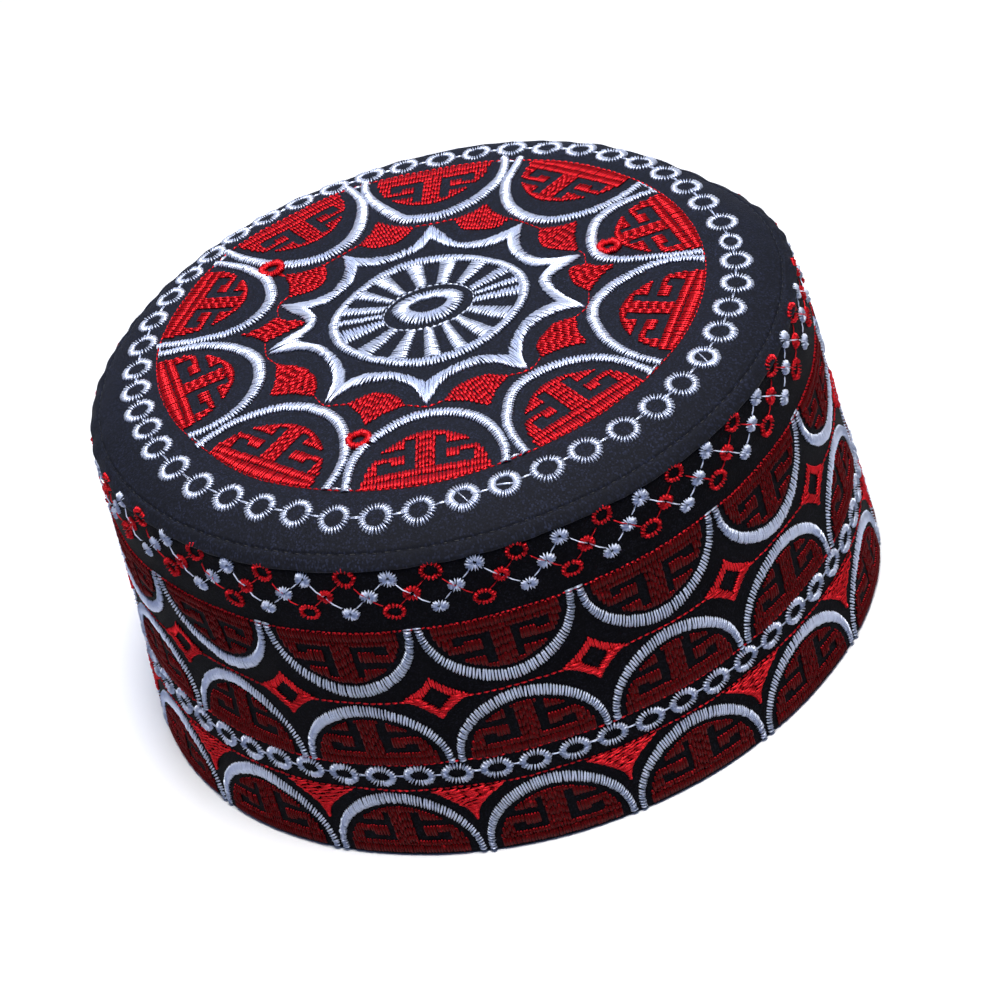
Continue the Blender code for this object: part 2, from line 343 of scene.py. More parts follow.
# The flower zigzag: a flower's thread, place in the repeat, row, height above the row, stitches,
# hole, size and thread width
ZIGZAG_START = 266.3
ZIGZAG_ROWS = {"top": 78.9, "middle": 74.2, "bottom": 69.8}
ZIGZAG_FLOWERS = (
    ("white", 0.0, "top", 0.0, 17, (0.35, 0.35), (2.25, 2.25), 0.47),
    ("white", 0.75, "middle", 0.0, 15, (0.3, 0.25), (2.25, 1.85), 0.46),
    ("white", 0.5, "bottom", 0.0, 15, (0.4, 0.3), (2.25, 1.7), 0.46),
    ("red", 0.5, "top", 0.4, 16, (1.55, 1.35), (2.85, 2.6), 0.82),
    ("red", 0.25, "middle", 0.0, 14, (0.5, 0.4), (2.2, 1.95), 0.80),
    ("red", 0.0, "bottom", 0.0, 16, (1.6, 1.15), (2.85, 2.25), 0.82),
)
# Its links: thread, the two corners as place in the repeat and row, and how far short of each the
# link stops. One that runs right up to a corner lies over the flower there
ZIGZAG_LINKS = (
    ("white", (0.0, "top"), (0.25, "middle"), 2.0, 0.0),
    ("white", (0.25, "middle"), (0.5, "bottom"), 0.0, 2.0),
    ("white", (0.5, "bottom"), (0.75, "middle"), 2.0, 2.0),
    ("white", (0.75, "middle"), (1.0, "top"), 2.0, 2.0),
    ("red", (0.5, "top"), (0.75, "middle"), 2.7, 0.0),
    ("red", (0.75, "middle"), (1.0, "bottom"), 0.0, 2.6),
    ("red", (1.0, "bottom"), (1.25, "middle"), 2.2, 1.6),
    ("red", (1.25, "middle"), (1.5, "top"), 1.6, 2.6),
)
LINK_OVER_FLOWER = 1.05
LINK_HEIGHT = 0.36
LINK_LEVEL = 74.0
ZIGZAG_CROWDING = 1.0
# Where the zigzag runs higher: angle, reach in degrees, and how far up
ZIGZAG_STRAYS = (
    (202.0, 15.0, 2.2),
    (338.0, 20.0, 2.2),
)


def linear(colour):
    """An sRGB hex colour as linear red, green and blue."""
    parts = [int(colour[at:at + 2], 16) / 255 for at in (1, 3, 5)]
    return tuple(part / 12.92 if part <= 0.04045 else ((part + 0.055) / 1.055) ** 2.4 for part in parts)


def length_setting(name, description, size, smallest):
    """A length property. Its default and its least value are given in millimetres."""
    return FloatProperty(name=name, description=description, default=size * MM, min=smallest * MM,
                         unit="LENGTH", subtype="DISTANCE", precision=5)


def count_setting(name, description, count, fewest, most):
    """A whole number property."""
    return IntProperty(name=name, description=description, default=count, min=fewest, max=most)


def colour_setting(name, description, colour):
    """A colour property. Its default is given as an sRGB hex colour."""
    return FloatVectorProperty(name=name, description=description, default=linear(colour),
                               subtype="COLOR", min=0.0, max=1.0)


class KUFI_PG_sizes(PropertyGroup):
    """Sizes of the cap's thread and pattern."""

    crown_satin: length_setting("Crown satin", "From one satin stitch of the crown to the next", 0.42, 0.3)
    wall_satin: length_setting("Wall satin", "From one satin stitch of the wall to the next", 0.74, 0.3)
    fill_spacing: length_setting("Fill spacing", "From one column of fill stitches to the next", 0.80, 0.3)
    thread_width: length_setting("Thread width", "Width of a satin stitch where it lies flat", 0.50, 0.2)
    satin_height: length_setting("Satin height", "How far a satin stitch stands up", 0.95, 0.1)
    fill_height: length_setting("Fill height", "How far a fill stitch stands up", 0.50, 0.1)
    satin_relief: length_setting("Satin relief", "Depth of the grooves between satin stitches", 0.32, 0.05)
    fill_relief: length_setting("Fill relief", "Depth of the grooves between fill stitches", 0.27, 0.05)
    fill_length: length_setting("Fill stitch", "Length of a stitch in a deep fill", 2.2, 0.8)
    groove_depth: length_setting("Edge groove", "Depth of the groove round the crown's edge", 0.30, 0.0)
    arches: count_setting("Arches", "Arches in each tier round the wall", 15, 8, 24)
    crown_rings: count_setting("Crown rings", "Rings of the chain on the crown", 48, 24, 72)
    rings_per_arch: count_setting("Rings per arch", "Rings of the wall's chain to each arch", 4, 2, 8)
    zigzag_repeats: count_setting("Zigzag repeats", "Repeats of the flower zigzag", 27, 12, 48)
    ring_teeth: count_setting("Ring stitches", "Stitches round one ring of a chain", 28, 10, 40)


class KUFI_PG_colours(PropertyGroup):
    """Colours of the cap and the stage."""

    crown_cloth: colour_setting("Crown cloth", "Charcoal cloth of the crown", "#080a13")
    # The band's colour is painted shade: the crown's cloth, drawn darker for the side of the cap where less
    # light falls
    band_cloth: colour_setting("Band cloth", "Black cloth of the side band", "#050508")
    white_thread: colour_setting("White thread", "Satin thread of the arches and rings", "#dfe7fb")
    red_thread: colour_setting("Red thread", "Thread of the frets and lines", "#ee2630")
    black_thread: colour_setting("Black thread", "Sewing thread of the crown's edge", "#0e0e12")
    floor: colour_setting("Floor", "Pale floor under the cap", "#e2e2e2")


# Shape of the cloth


def angle_between(a, b):
    """Smallest turn between two angles, in degrees."""
    return np.abs((a - b + 180.0) % 360.0 - 180.0)


def stray(angle, rows):
    """Sum of soft bumps round the cap, each given as its angle, reach in degrees and size."""
    return sum(size * np.exp(-(angle_between(angle, at) / reach) ** 2) for at, reach, size in rows)


def through(points):
    """A Catmull-Rom curve through the points, 16 steps to each gap, ends straight on."""
    line = np.array(points, float)
    ends = np.concatenate([[2 * line[0] - line[1]], line, [2 * line[-1] - line[-2]]])
    t = (np.arange(16) / 16)[:, None]
    curve = [0.5 * (2 * q + (r - p) * t + (2 * p - 5 * q + 4 * r - s) * t * t
                    + (3 * q - p - 3 * r + s) * t ** 3)
             for p, q, r, s in zip(ends, ends[1:], ends[2:], ends[3:])]
    return np.concatenate([*curve, line[-1:]])


CROWN_CURVE = through(((-24.0, 91.1), *CROWN_PROFILE))[16:]
CROWN_SLOPE = np.gradient(CROWN_CURVE[:, 1], CROWN_CURVE[:, 0])


def wall_shift(angle, height):
    """How far the wall stands out from its cone."""
    total = np.zeros(np.broadcast(angle, height).shape)
    for _, at, level, reach_round, reach_up, depth in WALL_DENTS + CLOTH_FOLDS:
        along = angle_between(angle, at) / reach_round
        up = (height - level) / reach_up
        total += depth * np.exp(-(along ** 2 + up ** 2))
    return total


def wall_rise(angle, height):
    """How much taller the wall is, in full at the seam and none at the rim."""
    share = (height / BAND_TOP_HEIGHT) ** 2
    return share * sum(rise * np.exp(-(angle_between(angle, at) / reach) ** 2)
                       for _, at, reach, rise in WALL_HEIGHTS)


def crown_shift(x, y):
    """How far the crown rises above its profile."""
    total = np.zeros(np.broadcast(x, y).shape)
    for _, at, radius, reach, rise in CROWN_SWELLS + CROWN_FOLDS:
        cx = radius * math.cos(math.radians(at))
        cy = radius * math.sin(math.radians(at))
        total += rise * np.exp(-((x - cx) ** 2 + (y - cy) ** 2) / reach ** 2)
    return total


def place(radius, height, angle):
    """Points of a turned section, moved with the unevenness of the cloth, as in the CAD source."""
    turn = np.radians(angle)
    radius = radius + wall_shift(angle, height) * (radius / RIM_RADIUS) ** 4
    x = radius * np.cos(turn)
    y = radius * np.sin(turn)
    held = np.clip(1.0 - (radius / BAND_TOP_RADIUS) ** 12, 0.0, None)
    swell = np.where(height > BAND_TOP_HEIGHT, crown_shift(x, y) * held, 0.0)
    spread = np.minimum(1.0, radius / BAND_TOP_RADIUS) ** 2
    return np.stack([x, y, height + swell + wall_rise(angle, height) * spread], axis=-1)


def puckers(angle, distance):
    """Small waves that the seam draws in the cloth, dying out away from it."""
    turn = np.radians(angle)
    waves = np.sin(PUCKER_WAVES * turn + 2.2 * np.sin(5 * turn)) + 0.6 * np.sin(37 * turn + 1.0)
    return PUCKER_HEIGHT * waves * np.exp(-(distance / PUCKER_REACH) ** 2)


def quilting(a, b):
    """Very low, wide unevenness that dense stitching leaves in stiffened cloth."""
    return 0.10 * np.sin(a / 4.3 + 1.7 * np.sin(b / 7.9)) * np.sin(b / 5.1 + 0.6)


class Surface:
    """A cloth surface: where a pattern point lies, and how large its units are in millimetres."""

    def __init__(self, point, units):
        self.point = point
        self.units = np.array(units)


def crown_point(flat, lift):
    """Points of the crown's face under (x, y), so far above the cloth, square to it."""
    x = flat[..., 0]
    y = flat[..., 1]
    radius = np.hypot(x, y)
    angle = np.degrees(np.arctan2(y, x)) % 360.0
    height = np.interp(radius, CROWN_CURVE[:, 0], CROWN_CURVE[:, 1])
    slope = np.interp(radius, CROWN_CURVE[:, 0], CROWN_SLOPE)
    depth = bpy.context.scene.kufi_sizes.groove_depth / MM
    groove = depth * np.exp(-((radius - GROOVE_RADIUS) / GROOVE_REACH) ** 2)
    outside, reach, share = GROOVE_RIDGE
    ridge = share * depth * np.exp(-((radius - GROOVE_RADIUS - outside) / reach) ** 2)
    lift = lift - groove + ridge + puckers(angle, radius - CROWN_CURVE[-1, 0]) + quilting(x, y)
    length = np.sqrt(1.0 + slope ** 2)
    outward = np.stack([-slope * np.cos(np.radians(angle)), -slope * np.sin(np.radians(angle)),
                        np.ones_like(slope)], axis=-1)
    return place(radius, height, angle) + outward * (lift / length)[..., None]


def camera_axes():
    """The camera's place in millimetres, and its right, up and back directions."""
    elevation = math.radians(CAMERA_ELEVATION)
    roll = math.radians(CAMERA_ROLL)
    back = np.array([0.0, -math.cos(elevation), math.sin(elevation)])
    upright = np.array([0.0, math.sin(elevation), math.cos(elevation)])
    right = math.cos(roll) * np.array([1.0, 0.0, 0.0]) + math.sin(roll) * upright
    up = -math.sin(roll) * np.array([1.0, 0.0, 0.0]) + math.cos(roll) * upright
    eye = np.array([0.0, 0.0, CAMERA_TARGET_HEIGHT]) + back * CAMERA_DISTANCE \
        - right * CAMERA_SHIFT[0] - up * CAMERA_SHIFT[1]
    return eye, right, up, back


READING_EYE = camera_axes()[0]


def crown_pattern_point(flat, lift):
    """As crown_point, for a pattern drawn as it looks from the camera on the plain dome. Where the
    cloth sags below the dome, the pattern lies further back by what that line of sight asks."""
    ideal = np.interp(np.hypot(flat[..., 0], flat[..., 1]), CROWN_CURVE[:, 0], CROWN_CURVE[:, 1])
    run = (flat - READING_EYE[:2]) / (READING_EYE[2] - ideal)[..., None]
    moved = flat
    for _ in range(3):
        radius = np.hypot(moved[..., 0], moved[..., 1])
        angle = np.degrees(np.arctan2(moved[..., 1], moved[..., 0])) % 360.0
        real = place(radius, np.interp(radius, CROWN_CURVE[:, 0], CROWN_CURVE[:, 1]), angle)
        seen = real[..., :2] - run * (ideal - real[..., 2])[..., None]
        moved = moved + flat - seen
    return crown_point(moved, lift)


def wall_point(flat, lift):
    """Points of the band's face at (angle, height), so far out from the cloth."""
    angle = flat[..., 0]
    height = flat[..., 1]
    fine = puckers(angle, height - BAND_TOP_HEIGHT) + 0.7 * quilting(1.6 * angle, height)
    return place(RIM_RADIUS - FLARE * height + lift + fine, height, angle % 360.0)


def crowded_wall_point(flat, lift):
    """As wall_point, with the arches a little closer together in front and lower down."""
    crowding = np.clip(CROWDING_AT_RIM - CROWDING_FALL * flat[..., 1], LEAST_CROWDING, None)
    turned = np.radians(flat[..., 0] - FRONT_JUNCTION)
    angle = flat[..., 0] - np.degrees(crowding * np.sin(turned))
    return wall_point(np.stack([angle, flat[..., 1]], axis=-1), lift)


def zigzag_wall_point(flat, lift):
    """As wall_point, with the zigzag's upper row drawn together in front and its ends rising."""
    middle = ZIGZAG_ROWS["middle"]
    upper = np.clip((flat[..., 1] - middle) / (ZIGZAG_ROWS["top"] - middle), 0.0, 1.0)
    turned = np.radians(flat[..., 0] - ZIGZAG_START)
    angle = flat[..., 0] - ZIGZAG_CROWDING * upper * np.sin(turned)
    return wall_point(np.stack([angle, flat[..., 1] + stray(flat[..., 0], ZIGZAG_STRAYS)], axis=-1), lift)


# A degree round the wall is about 1.53 mm at the zigzag and 1.6 mm at the arches
CROWN = Surface(crown_point, (1.0, 1.0))
CROWN_PATTERN = Surface(crown_pattern_point, (1.0, 1.0))
ZIGZAG_WALL = Surface(zigzag_wall_point, (1.0 / 1.53, 1.0))
CROWDED_WALL = Surface(crowded_wall_point, (1.0 / 1.6, 1.0))


# Meshes


def add_piece(name, points, triangles, quads, finish, fields):
    """One smooth mesh from arrays in millimetres, which rides on the cap."""
    mesh = bpy.data.meshes.new(name)
    mesh.vertices.add(len(points))
    mesh.vertices.foreach_set("co", (points * MM).astype(np.float32).ravel())
    corners = np.concatenate([triangles.ravel(), quads.ravel()]).astype(np.int32)
    starts = np.concatenate([3 * np.arange(len(triangles)),
                             3 * len(triangles) + 4 * np.arange(len(quads))]).astype(np.int32)
    mesh.loops.add(len(corners))
    mesh.loops.foreach_set("vertex_index", corners)
    mesh.polygons.add(len(starts))
    mesh.polygons.foreach_set("loop_start", starts)
    mesh.update(calc_edges=True)
    if mesh.validate():
        raise RuntimeError(f"{name} has broken faces")
    for field, (domain, values) in fields.items():
        layer = mesh.attributes.new(field, "FLOAT_VECTOR", domain)
        layer.data.foreach_set("vector", values.astype(np.float32).ravel())
    mesh.shade_smooth()
    mesh.materials.append(finish)
    piece = bpy.data.objects.new(name, mesh)
    bpy.context.scene.collection.objects.link(piece)
    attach(piece, "root")
    return piece


def grid_quads(rows, columns):
    """Corners of the quads between rows of points that close round the cap."""
    row, column = np.meshgrid(np.arange(rows - 1), np.arange(columns), indexing="ij")
    after = (column + 1) % columns
    return np.stack([row * columns + column, (row + 1) * columns + column,
                     (row + 1) * columns + after, row * columns + after], axis=-1).reshape(-1, 4)


# Rings of a stitch: place along it, share of its width and share of its height
SATIN_SHAPE = ((0.13, 0.92, 0.64), (0.5, 1.0, 1.0), (0.87, 0.92, 0.64))
FILL_SHAPE = ((0.11, 0.94, 0.80), (0.5, 1.0, 1.0), (0.89, 0.94, 0.80))
TOOTH_SHAPE = ((0.10, 0.85, 0.80), (0.5, 0.95, 1.0), (0.88, 0.55, 0.66))
LINE_SHAPE = ((0.08, 0.80, 0.60), (0.5, 1.0, 1.0), (0.92, 0.80, 0.60))
STITCH_TRIANGLES = np.array([(0, 2, 1), (0, 3, 2), (0, 1, 3), (10, 7, 8), (10, 8, 9), (10, 9, 7)])
STITCH_QUADS = np.array([(1, 2, 5, 4), (2, 3, 6, 5), (3, 1, 4, 6),
                         (4, 5, 8, 7), (5, 6, 9, 8), (6, 4, 7, 9)])
STITCH_POINTS = 11
SUNK = 0.12
FILL_OVERLAP = 1.02


class Threadwork:
    """The stitches of one piece, gathered as arrays and made into one mesh."""

    def __init__(self, surface, seed):
        self.surface = surface
        self.random = np.random.default_rng(seed)
        self.points = []
        self.strands = []
        self.sides = []

    def sew(self, starts, ends, width, height, shape=SATIN_SHAPE, wander=0.07, relief=9.0, dim=0.0):
        """Adds one stitch from each start to each end, with a hand's small differences. A stitch's
        sides lie in the cloth, or the relief below its ridge where its neighbours hold it up. Dim is
        painted shade over all of a stitch but its ends, which are painted brighter as a highlight where
        they turn down towards the light."""
        starts = np.asarray(starts, float).reshape(-1, 2)
        ends = np.asarray(ends, float).reshape(-1, 2)
        count = len(starts)
        if count == 0:
            return
        units = self.surface.units
        starts = starts + self.random.normal(0.0, wander, (count, 2)) * units
        ends = ends + self.random.normal(0.0, wander, (count, 2)) * units
        width = width * self.random.uniform(0.9, 1.1, count)
        height = height * self.random.uniform(0.82, 1.15, count)
        shade = self.random.uniform(0.0, 1.0, count)
        first = self.surface.point(starts, 0.0)
        last = self.surface.point(ends, 0.0)
        middle = (starts + ends) / 2
        outward = self.surface.point(middle, 1.0) - self.surface.point(middle, 0.0)
        outward /= np.linalg.norm(outward, axis=1, keepdims=True)
        along = last - first
        length = np.linalg.norm(along, axis=1)
        side = np.cross(along, outward)
        side /= np.maximum(np.linalg.norm(side, axis=1, keepdims=True), 1e-9)
        points = np.empty((count, STITCH_POINTS, 3))
        strand = np.zeros((count, STITCH_POINTS, 3))
        strand[..., 2] = shade[:, None]
        points[:, 0] = first - outward * SUNK
        points[:, -1] = last - outward * SUNK
        strand[:, -1, 0] = length
        for ring, (share, wide, high) in enumerate(shape):
            centre = self.surface.point(starts + (ends - starts) * share, 0.0)
            half = side * (width * wide / 2)[:, None]
            ridge = (height * high)[:, None]
            edge = np.maximum(ridge - relief, -SUNK)
            at = 1 + 3 * ring
            points[:, at] = centre - half + outward * edge
            points[:, at + 1] = centre + outward * ridge
            points[:, at + 2] = centre + half + outward * edge
            strand[:, at:at + 3, 0] = (length * share)[:, None]
            strand[:, at, 1] = -1.0
            strand[:, at + 2, 1] = 1.0
        # Painted shade on the stitch's middle, and a painted highlight on its two ends
        strand[:, 1:-1, 2] += dim
        strand[:, ::STITCH_POINTS - 1, 2] -= dim
        self.points.append(points.reshape(-1, 3))
        self.strands.append(strand.reshape(-1, 3))
        self.sides.append(np.repeat(side, STITCH_POINTS, axis=0))

    def satin(self, starts, ends, use, wander=0.07):
        """Adds closed satin stitches."""
        self.sew(starts, ends, use["width"], use["satin"], SATIN_SHAPE, wander, use["relief"])

    def fill(self, starts, ends, use, dim=0.0):
        """Adds fill stitches, which just overlap the next column."""
        self.sew(starts, ends, use["columns"] * FILL_OVERLAP, use["fill"], FILL_SHAPE, 0.07,
                 use["fill_relief"], dim)

    def make(self, name, finish, slot):
        """The piece's mesh. Its strand field holds place along, place across and shade, which is a
        stitch's random tone plus any painted shade and painted end highlight, and its across field the
        direction square to the fibres."""
        points = np.concatenate(self.points)
        first = np.arange(len(points) // STITCH_POINTS)[:, None, None] * STITCH_POINTS
        triangles = (first + STITCH_TRIANGLES).reshape(-1, 3)
        quads = (first + STITCH_QUADS).reshape(-1, 4)
        fields = {"strand": ("POINT", np.concatenate(self.strands)),
                  "across": ("POINT", np.concatenate(self.sides))}
        return add_piece(name, points, triangles, quads, finish, fields)


# Pattern pieces in flat millimetres


def distance_along(line):
    """Distance from a line's start to each of its points."""
    return np.concatenate([[0.0], np.cumsum(np.linalg.norm(np.diff(line, axis=0), axis=1))])


def pick(line, distances, at):
    """Points of a line at so many distances along it."""
    return np.stack([np.interp(at, distances, line[:, 0]), np.interp(at, distances, line[:, 1])], axis=1)


def even_line(points, count=161):
    """A smooth line through the points, as evenly spread points."""
    curve = through(points)
    distances = distance_along(curve)
    return pick(curve, distances, np.linspace(0.0, distances[-1], count))


def satin_between(inner, outer, spacing, lean=0.5):
    """Ends of the stitches that fill the strip between two outlines with matching points. The
    thread runs to and fro, so each stitch leans the other way from the last. At a lean of half
    the spacing the ends meet in pairs, as they do in a closed satin."""
    distances = distance_along((inner + outer) / 2)
    count = max(2, int(round(distances[-1] / spacing)))
    pitch = distances[-1] / count
    stations = (np.arange(count) + 0.5) * pitch
    turn = np.where(np.arange(count) % 2, lean, -lean) * pitch
    return pick(inner, distances, stations - turn), pick(outer, distances, stations + turn)


def strip_edges(line, widths):
    """Both edges of a strip round its middle line."""
    way = np.gradient(line, axis=0)
    way /= np.linalg.norm(way, axis=1, keepdims=True)
    side = np.stack([-way[:, 1], way[:, 0]], axis=1) * (widths / 2)[:, None]
    return line - side, line + side


def almond(left, right, up, down, sharpness):
    """A closed outline with a point at each end, from the left end over the top."""
    turn = np.linspace(0.0, 2 * math.pi, 241)
    left = np.array(left)
    axis = (np.array(right) - left) / 2
    square = np.array([-axis[1], axis[0]]) / np.linalg.norm(axis)
    rise = np.abs(np.sin(turn)) ** sharpness * np.where(turn < math.pi, up, -down)
    return left + axis - np.cos(turn)[:, None] * axis + rise[:, None] * square


def within(outline, x, y):
    """Whether points lie inside a closed outline."""
    inside = np.zeros(np.shape(x), bool)
    for (ax, ay), (bx, by) in zip(outline, np.roll(outline, -1, axis=0)):
        if ay != by:
            crosses = (ay > y) != (by > y)
            inside ^= crosses & (x < ax + (bx - ax) * (y - ay) / (by - ay))
    return inside


def arch_outline(half_width, depth):
    """From one foot over the nose to the other foot of an arch: u from -half_width, v up to depth."""
    turn = np.linspace(0.0, math.pi, 120)
    across = np.abs(np.cos(turn)) ** ARCH_ROUND_OUT * -np.sign(np.cos(turn)) * half_width
    up = np.abs(np.sin(turn)) ** ARCH_ROUND_UP * depth
    return np.stack([across, up], axis=1)


def run_of_stitches(line, length, gap):
    """Ends of the dashes of a running stitch along a line of points."""
    distances = distance_along(line)
    count = max(1, int(round(distances[-1] / (length + gap))))
    pitch = distances[-1] / count
    starts = np.arange(count) * pitch + gap / 2
    return pick(line, distances, starts), pick(line, distances, starts + pitch - gap)


def fill_with_columns(inside, across, along, spacing, length, random, rows=()):
    """Ends of upright fill stitches in the region where inside(u, v) is true, all cut at the rows."""
    starts = []
    ends = []
    step = 0.1
    v = np.arange(along[0], along[1] + step, step)
    for u in np.arange(across[0] + spacing / 2, across[1], spacing):
        held = np.concatenate([[False], inside(np.full_like(v, u), v), [False]])
        turns = np.flatnonzero(held[1:] != held[:-1])
        for low, high in zip(turns[::2], turns[1::2]):
            bottom = v[low]
            top = v[min(high, len(v) - 1)]
            if top - bottom < 0.5:
                continue
            cuts = [bottom, *(row for row in rows if bottom + 0.4 < row < top - 0.4)]
            if top - cuts[-1] > 1.5 * length:
                first = cuts[-1] + length * random.uniform(0.35, 1.1)
                cuts.extend(np.arange(first, top - 0.45 * length, length))
            cuts.append(top)
            for a, b in zip(cuts, cuts[1:]):
                starts.append((u, a - 0.10))
                ends.append((u, b + 0.10))
    return np.array(starts), np.array(ends)


def ring_teeth(teeth, hole, size, turn=0.0):
    """Ends of the stitches of an oval ring round (0, 0), from the hole out to its edge."""
    at = turn + 2 * math.pi * (np.arange(teeth) + 0.5) / teeth
    spokes = np.stack([np.cos(at), np.sin(at)], axis=1)
    return spokes * np.array(hole), spokes * np.array(size)


# Fret: places of its black bars as shares of the fill's half width, and heights above the base
FRET_COLUMNS = {"stem": 0.160, "bar": 0.305, "hook": 0.545, "turn": 0.745}
CROWN_FRET_ROWS = {"band": 5.8, "top": 8.0, "hook": 9.6, "tongue": 11.2, "low": 13.2, "end": 16.3}
WALL_FRET_ROWS = {"band": 3.5, "top": 5.1, "hook": 6.2, "tongue": 8.0, "low": 9.8, "end": 12.3}


def fret_region(half_width, depth, rows, border):
    """A test for the red part of a fret fill. border(u) is where the fill starts."""
    stem, bar, hook, turn = (FRET_COLUMNS[key] * half_width for key in ("stem", "bar", "hook", "turn"))

    def inside(u, v):
        x = np.abs(u)
        share = np.clip(v / depth, 0.0, 1.0)
        outline = half_width * (1.0 - share ** 2.2) ** 0.58
        red = (x < outline) & (v > border(u))
        beside_stem = (x > stem) & (x < bar) & (v > rows["band"]) & (v < rows["end"])
        top_bar = (x > stem) & (x < turn) & (v > rows["band"]) & (v < rows["top"])
        down_turn = (x > hook) & (x < turn) & (v > rows["band"]) & (v < rows["hook"])
        low_bar = (x > stem) & (v > rows["tongue"]) & (v < rows["low"])
        return red & ~(beside_stem | top_bar | down_turn | low_bar)

    return inside


def on_crown(flat, angle, radius):
    """Motif points (u clockwise, v towards the middle) as crown points, from a radius at an angle."""
    turn = math.radians(angle)
    outward = np.array([math.cos(turn), math.sin(turn)])
    clockwise = np.array([math.sin(turn), -math.cos(turn)])
    return (radius - flat[:, 1:2]) * outward + flat[:, 0:1] * clockwise


def border_at(points):
    """The radius of the scallops' border in the direction of each point."""
    angle = np.degrees(np.arctan2(points[..., 1], points[..., 0]))
    return BORDER_RADIUS + stray(angle, BORDER_STRAYS)


def clear_of_eyelets(starts, ends):
    """The stitches that don't lie across a red eyelet's hole."""
    middles = (starts + ends) / 2
    kept = np.ones(len(middles), bool)
    for centre, _, _ in RED_EYELETS:
        kept &= np.linalg.norm(middles - centre, axis=1) > EYELET_CLEARANCE
    return starts[kept], ends[kept]


def reach_of_border(points, way):
    """How far the points have to move in a direction to meet the scallops' border."""
    moved = np.zeros(len(points))
    for _ in range(4):
        at = points + moved[:, None] * way
        radius = np.linalg.norm(at, axis=1)
        moved = moved + (border_at(at) - radius) / (at @ way / radius)
    return moved


class ScallopFrame:
    """Where a scallop's fill lies: u along the chord between its feet, v from the border inward."""

    def __init__(self, line):
        first = np.array(line[0])
        last = np.array(line[-1])
        self.middle = (first + last) / 2
        self.across = (last - first) / np.linalg.norm(last - first)
        self.inward = np.array([self.across[1], -self.across[0]])
        if self.inward @ self.middle > 0:
            self.inward = -self.inward
        self.bulge = self.rise(np.zeros(1))[0]

    def rise(self, u):
        """How far the border lies outside the chord."""
        return reach_of_border(self.middle + u[:, None] * self.across, -self.inward)

    def border(self, u):
        """Where the fill starts."""
        span = np.linspace(-20.0, 20.0, 41)
        return self.bulge - np.interp(u, span, self.rise(span))

    def place(self, flat):
        return self.middle + flat[:, :1] * self.across + (flat[:, 1:] - self.bulge) * self.inward


def mm_per_degree(height):
    """Length of one degree round the wall."""
    return math.pi / 180.0 * (RIM_RADIUS - FLARE * height)


def on_wall(flat, angle, base, way=1):
    """Motif points (u to the right, v from the base) as wall points."""
    degrees = 1.0 / mm_per_degree(base + way * MOTIF_MIDDLE)
    return np.stack([angle + flat[:, 0] * degrees, base + way * flat[:, 1]], axis=1)


# Materials

# Millimetres to a turn of the plies, about 0.35 on real thread, and from thread to thread of the
# cloth, about 0.25 on real cotton: both drawn coarser so that they show
PLY_TURN = 0.5
WEAVE_PITCH = 0.34
# How many times brighter than the cloth its painted glints are
GLINT_BRIGHTNESS = 9.0


def add_node(tree, kind, inputs=None, **settings):
    """Adds a node with its settings. An input is linked if its value is a socket, and set if not."""
    made = tree.nodes.new(kind)
    for setting, value in settings.items():
        setattr(made, setting, value)
    for socket, value in (inputs or {}).items():
        if isinstance(value, bpy.types.NodeSocket):
            tree.links.new(value, made.inputs[socket])
        else:
            made.inputs[socket].default_value = value
    return made


def new_material(name):
    """A new material and its empty tree, or the one of that name and no tree."""
    material = bpy.data.materials.get(name)
    if material:
        return material, None
    material = bpy.data.materials.new(name)
    material.use_nodes = True
    material.node_tree.nodes.clear()
    return material, material.node_tree


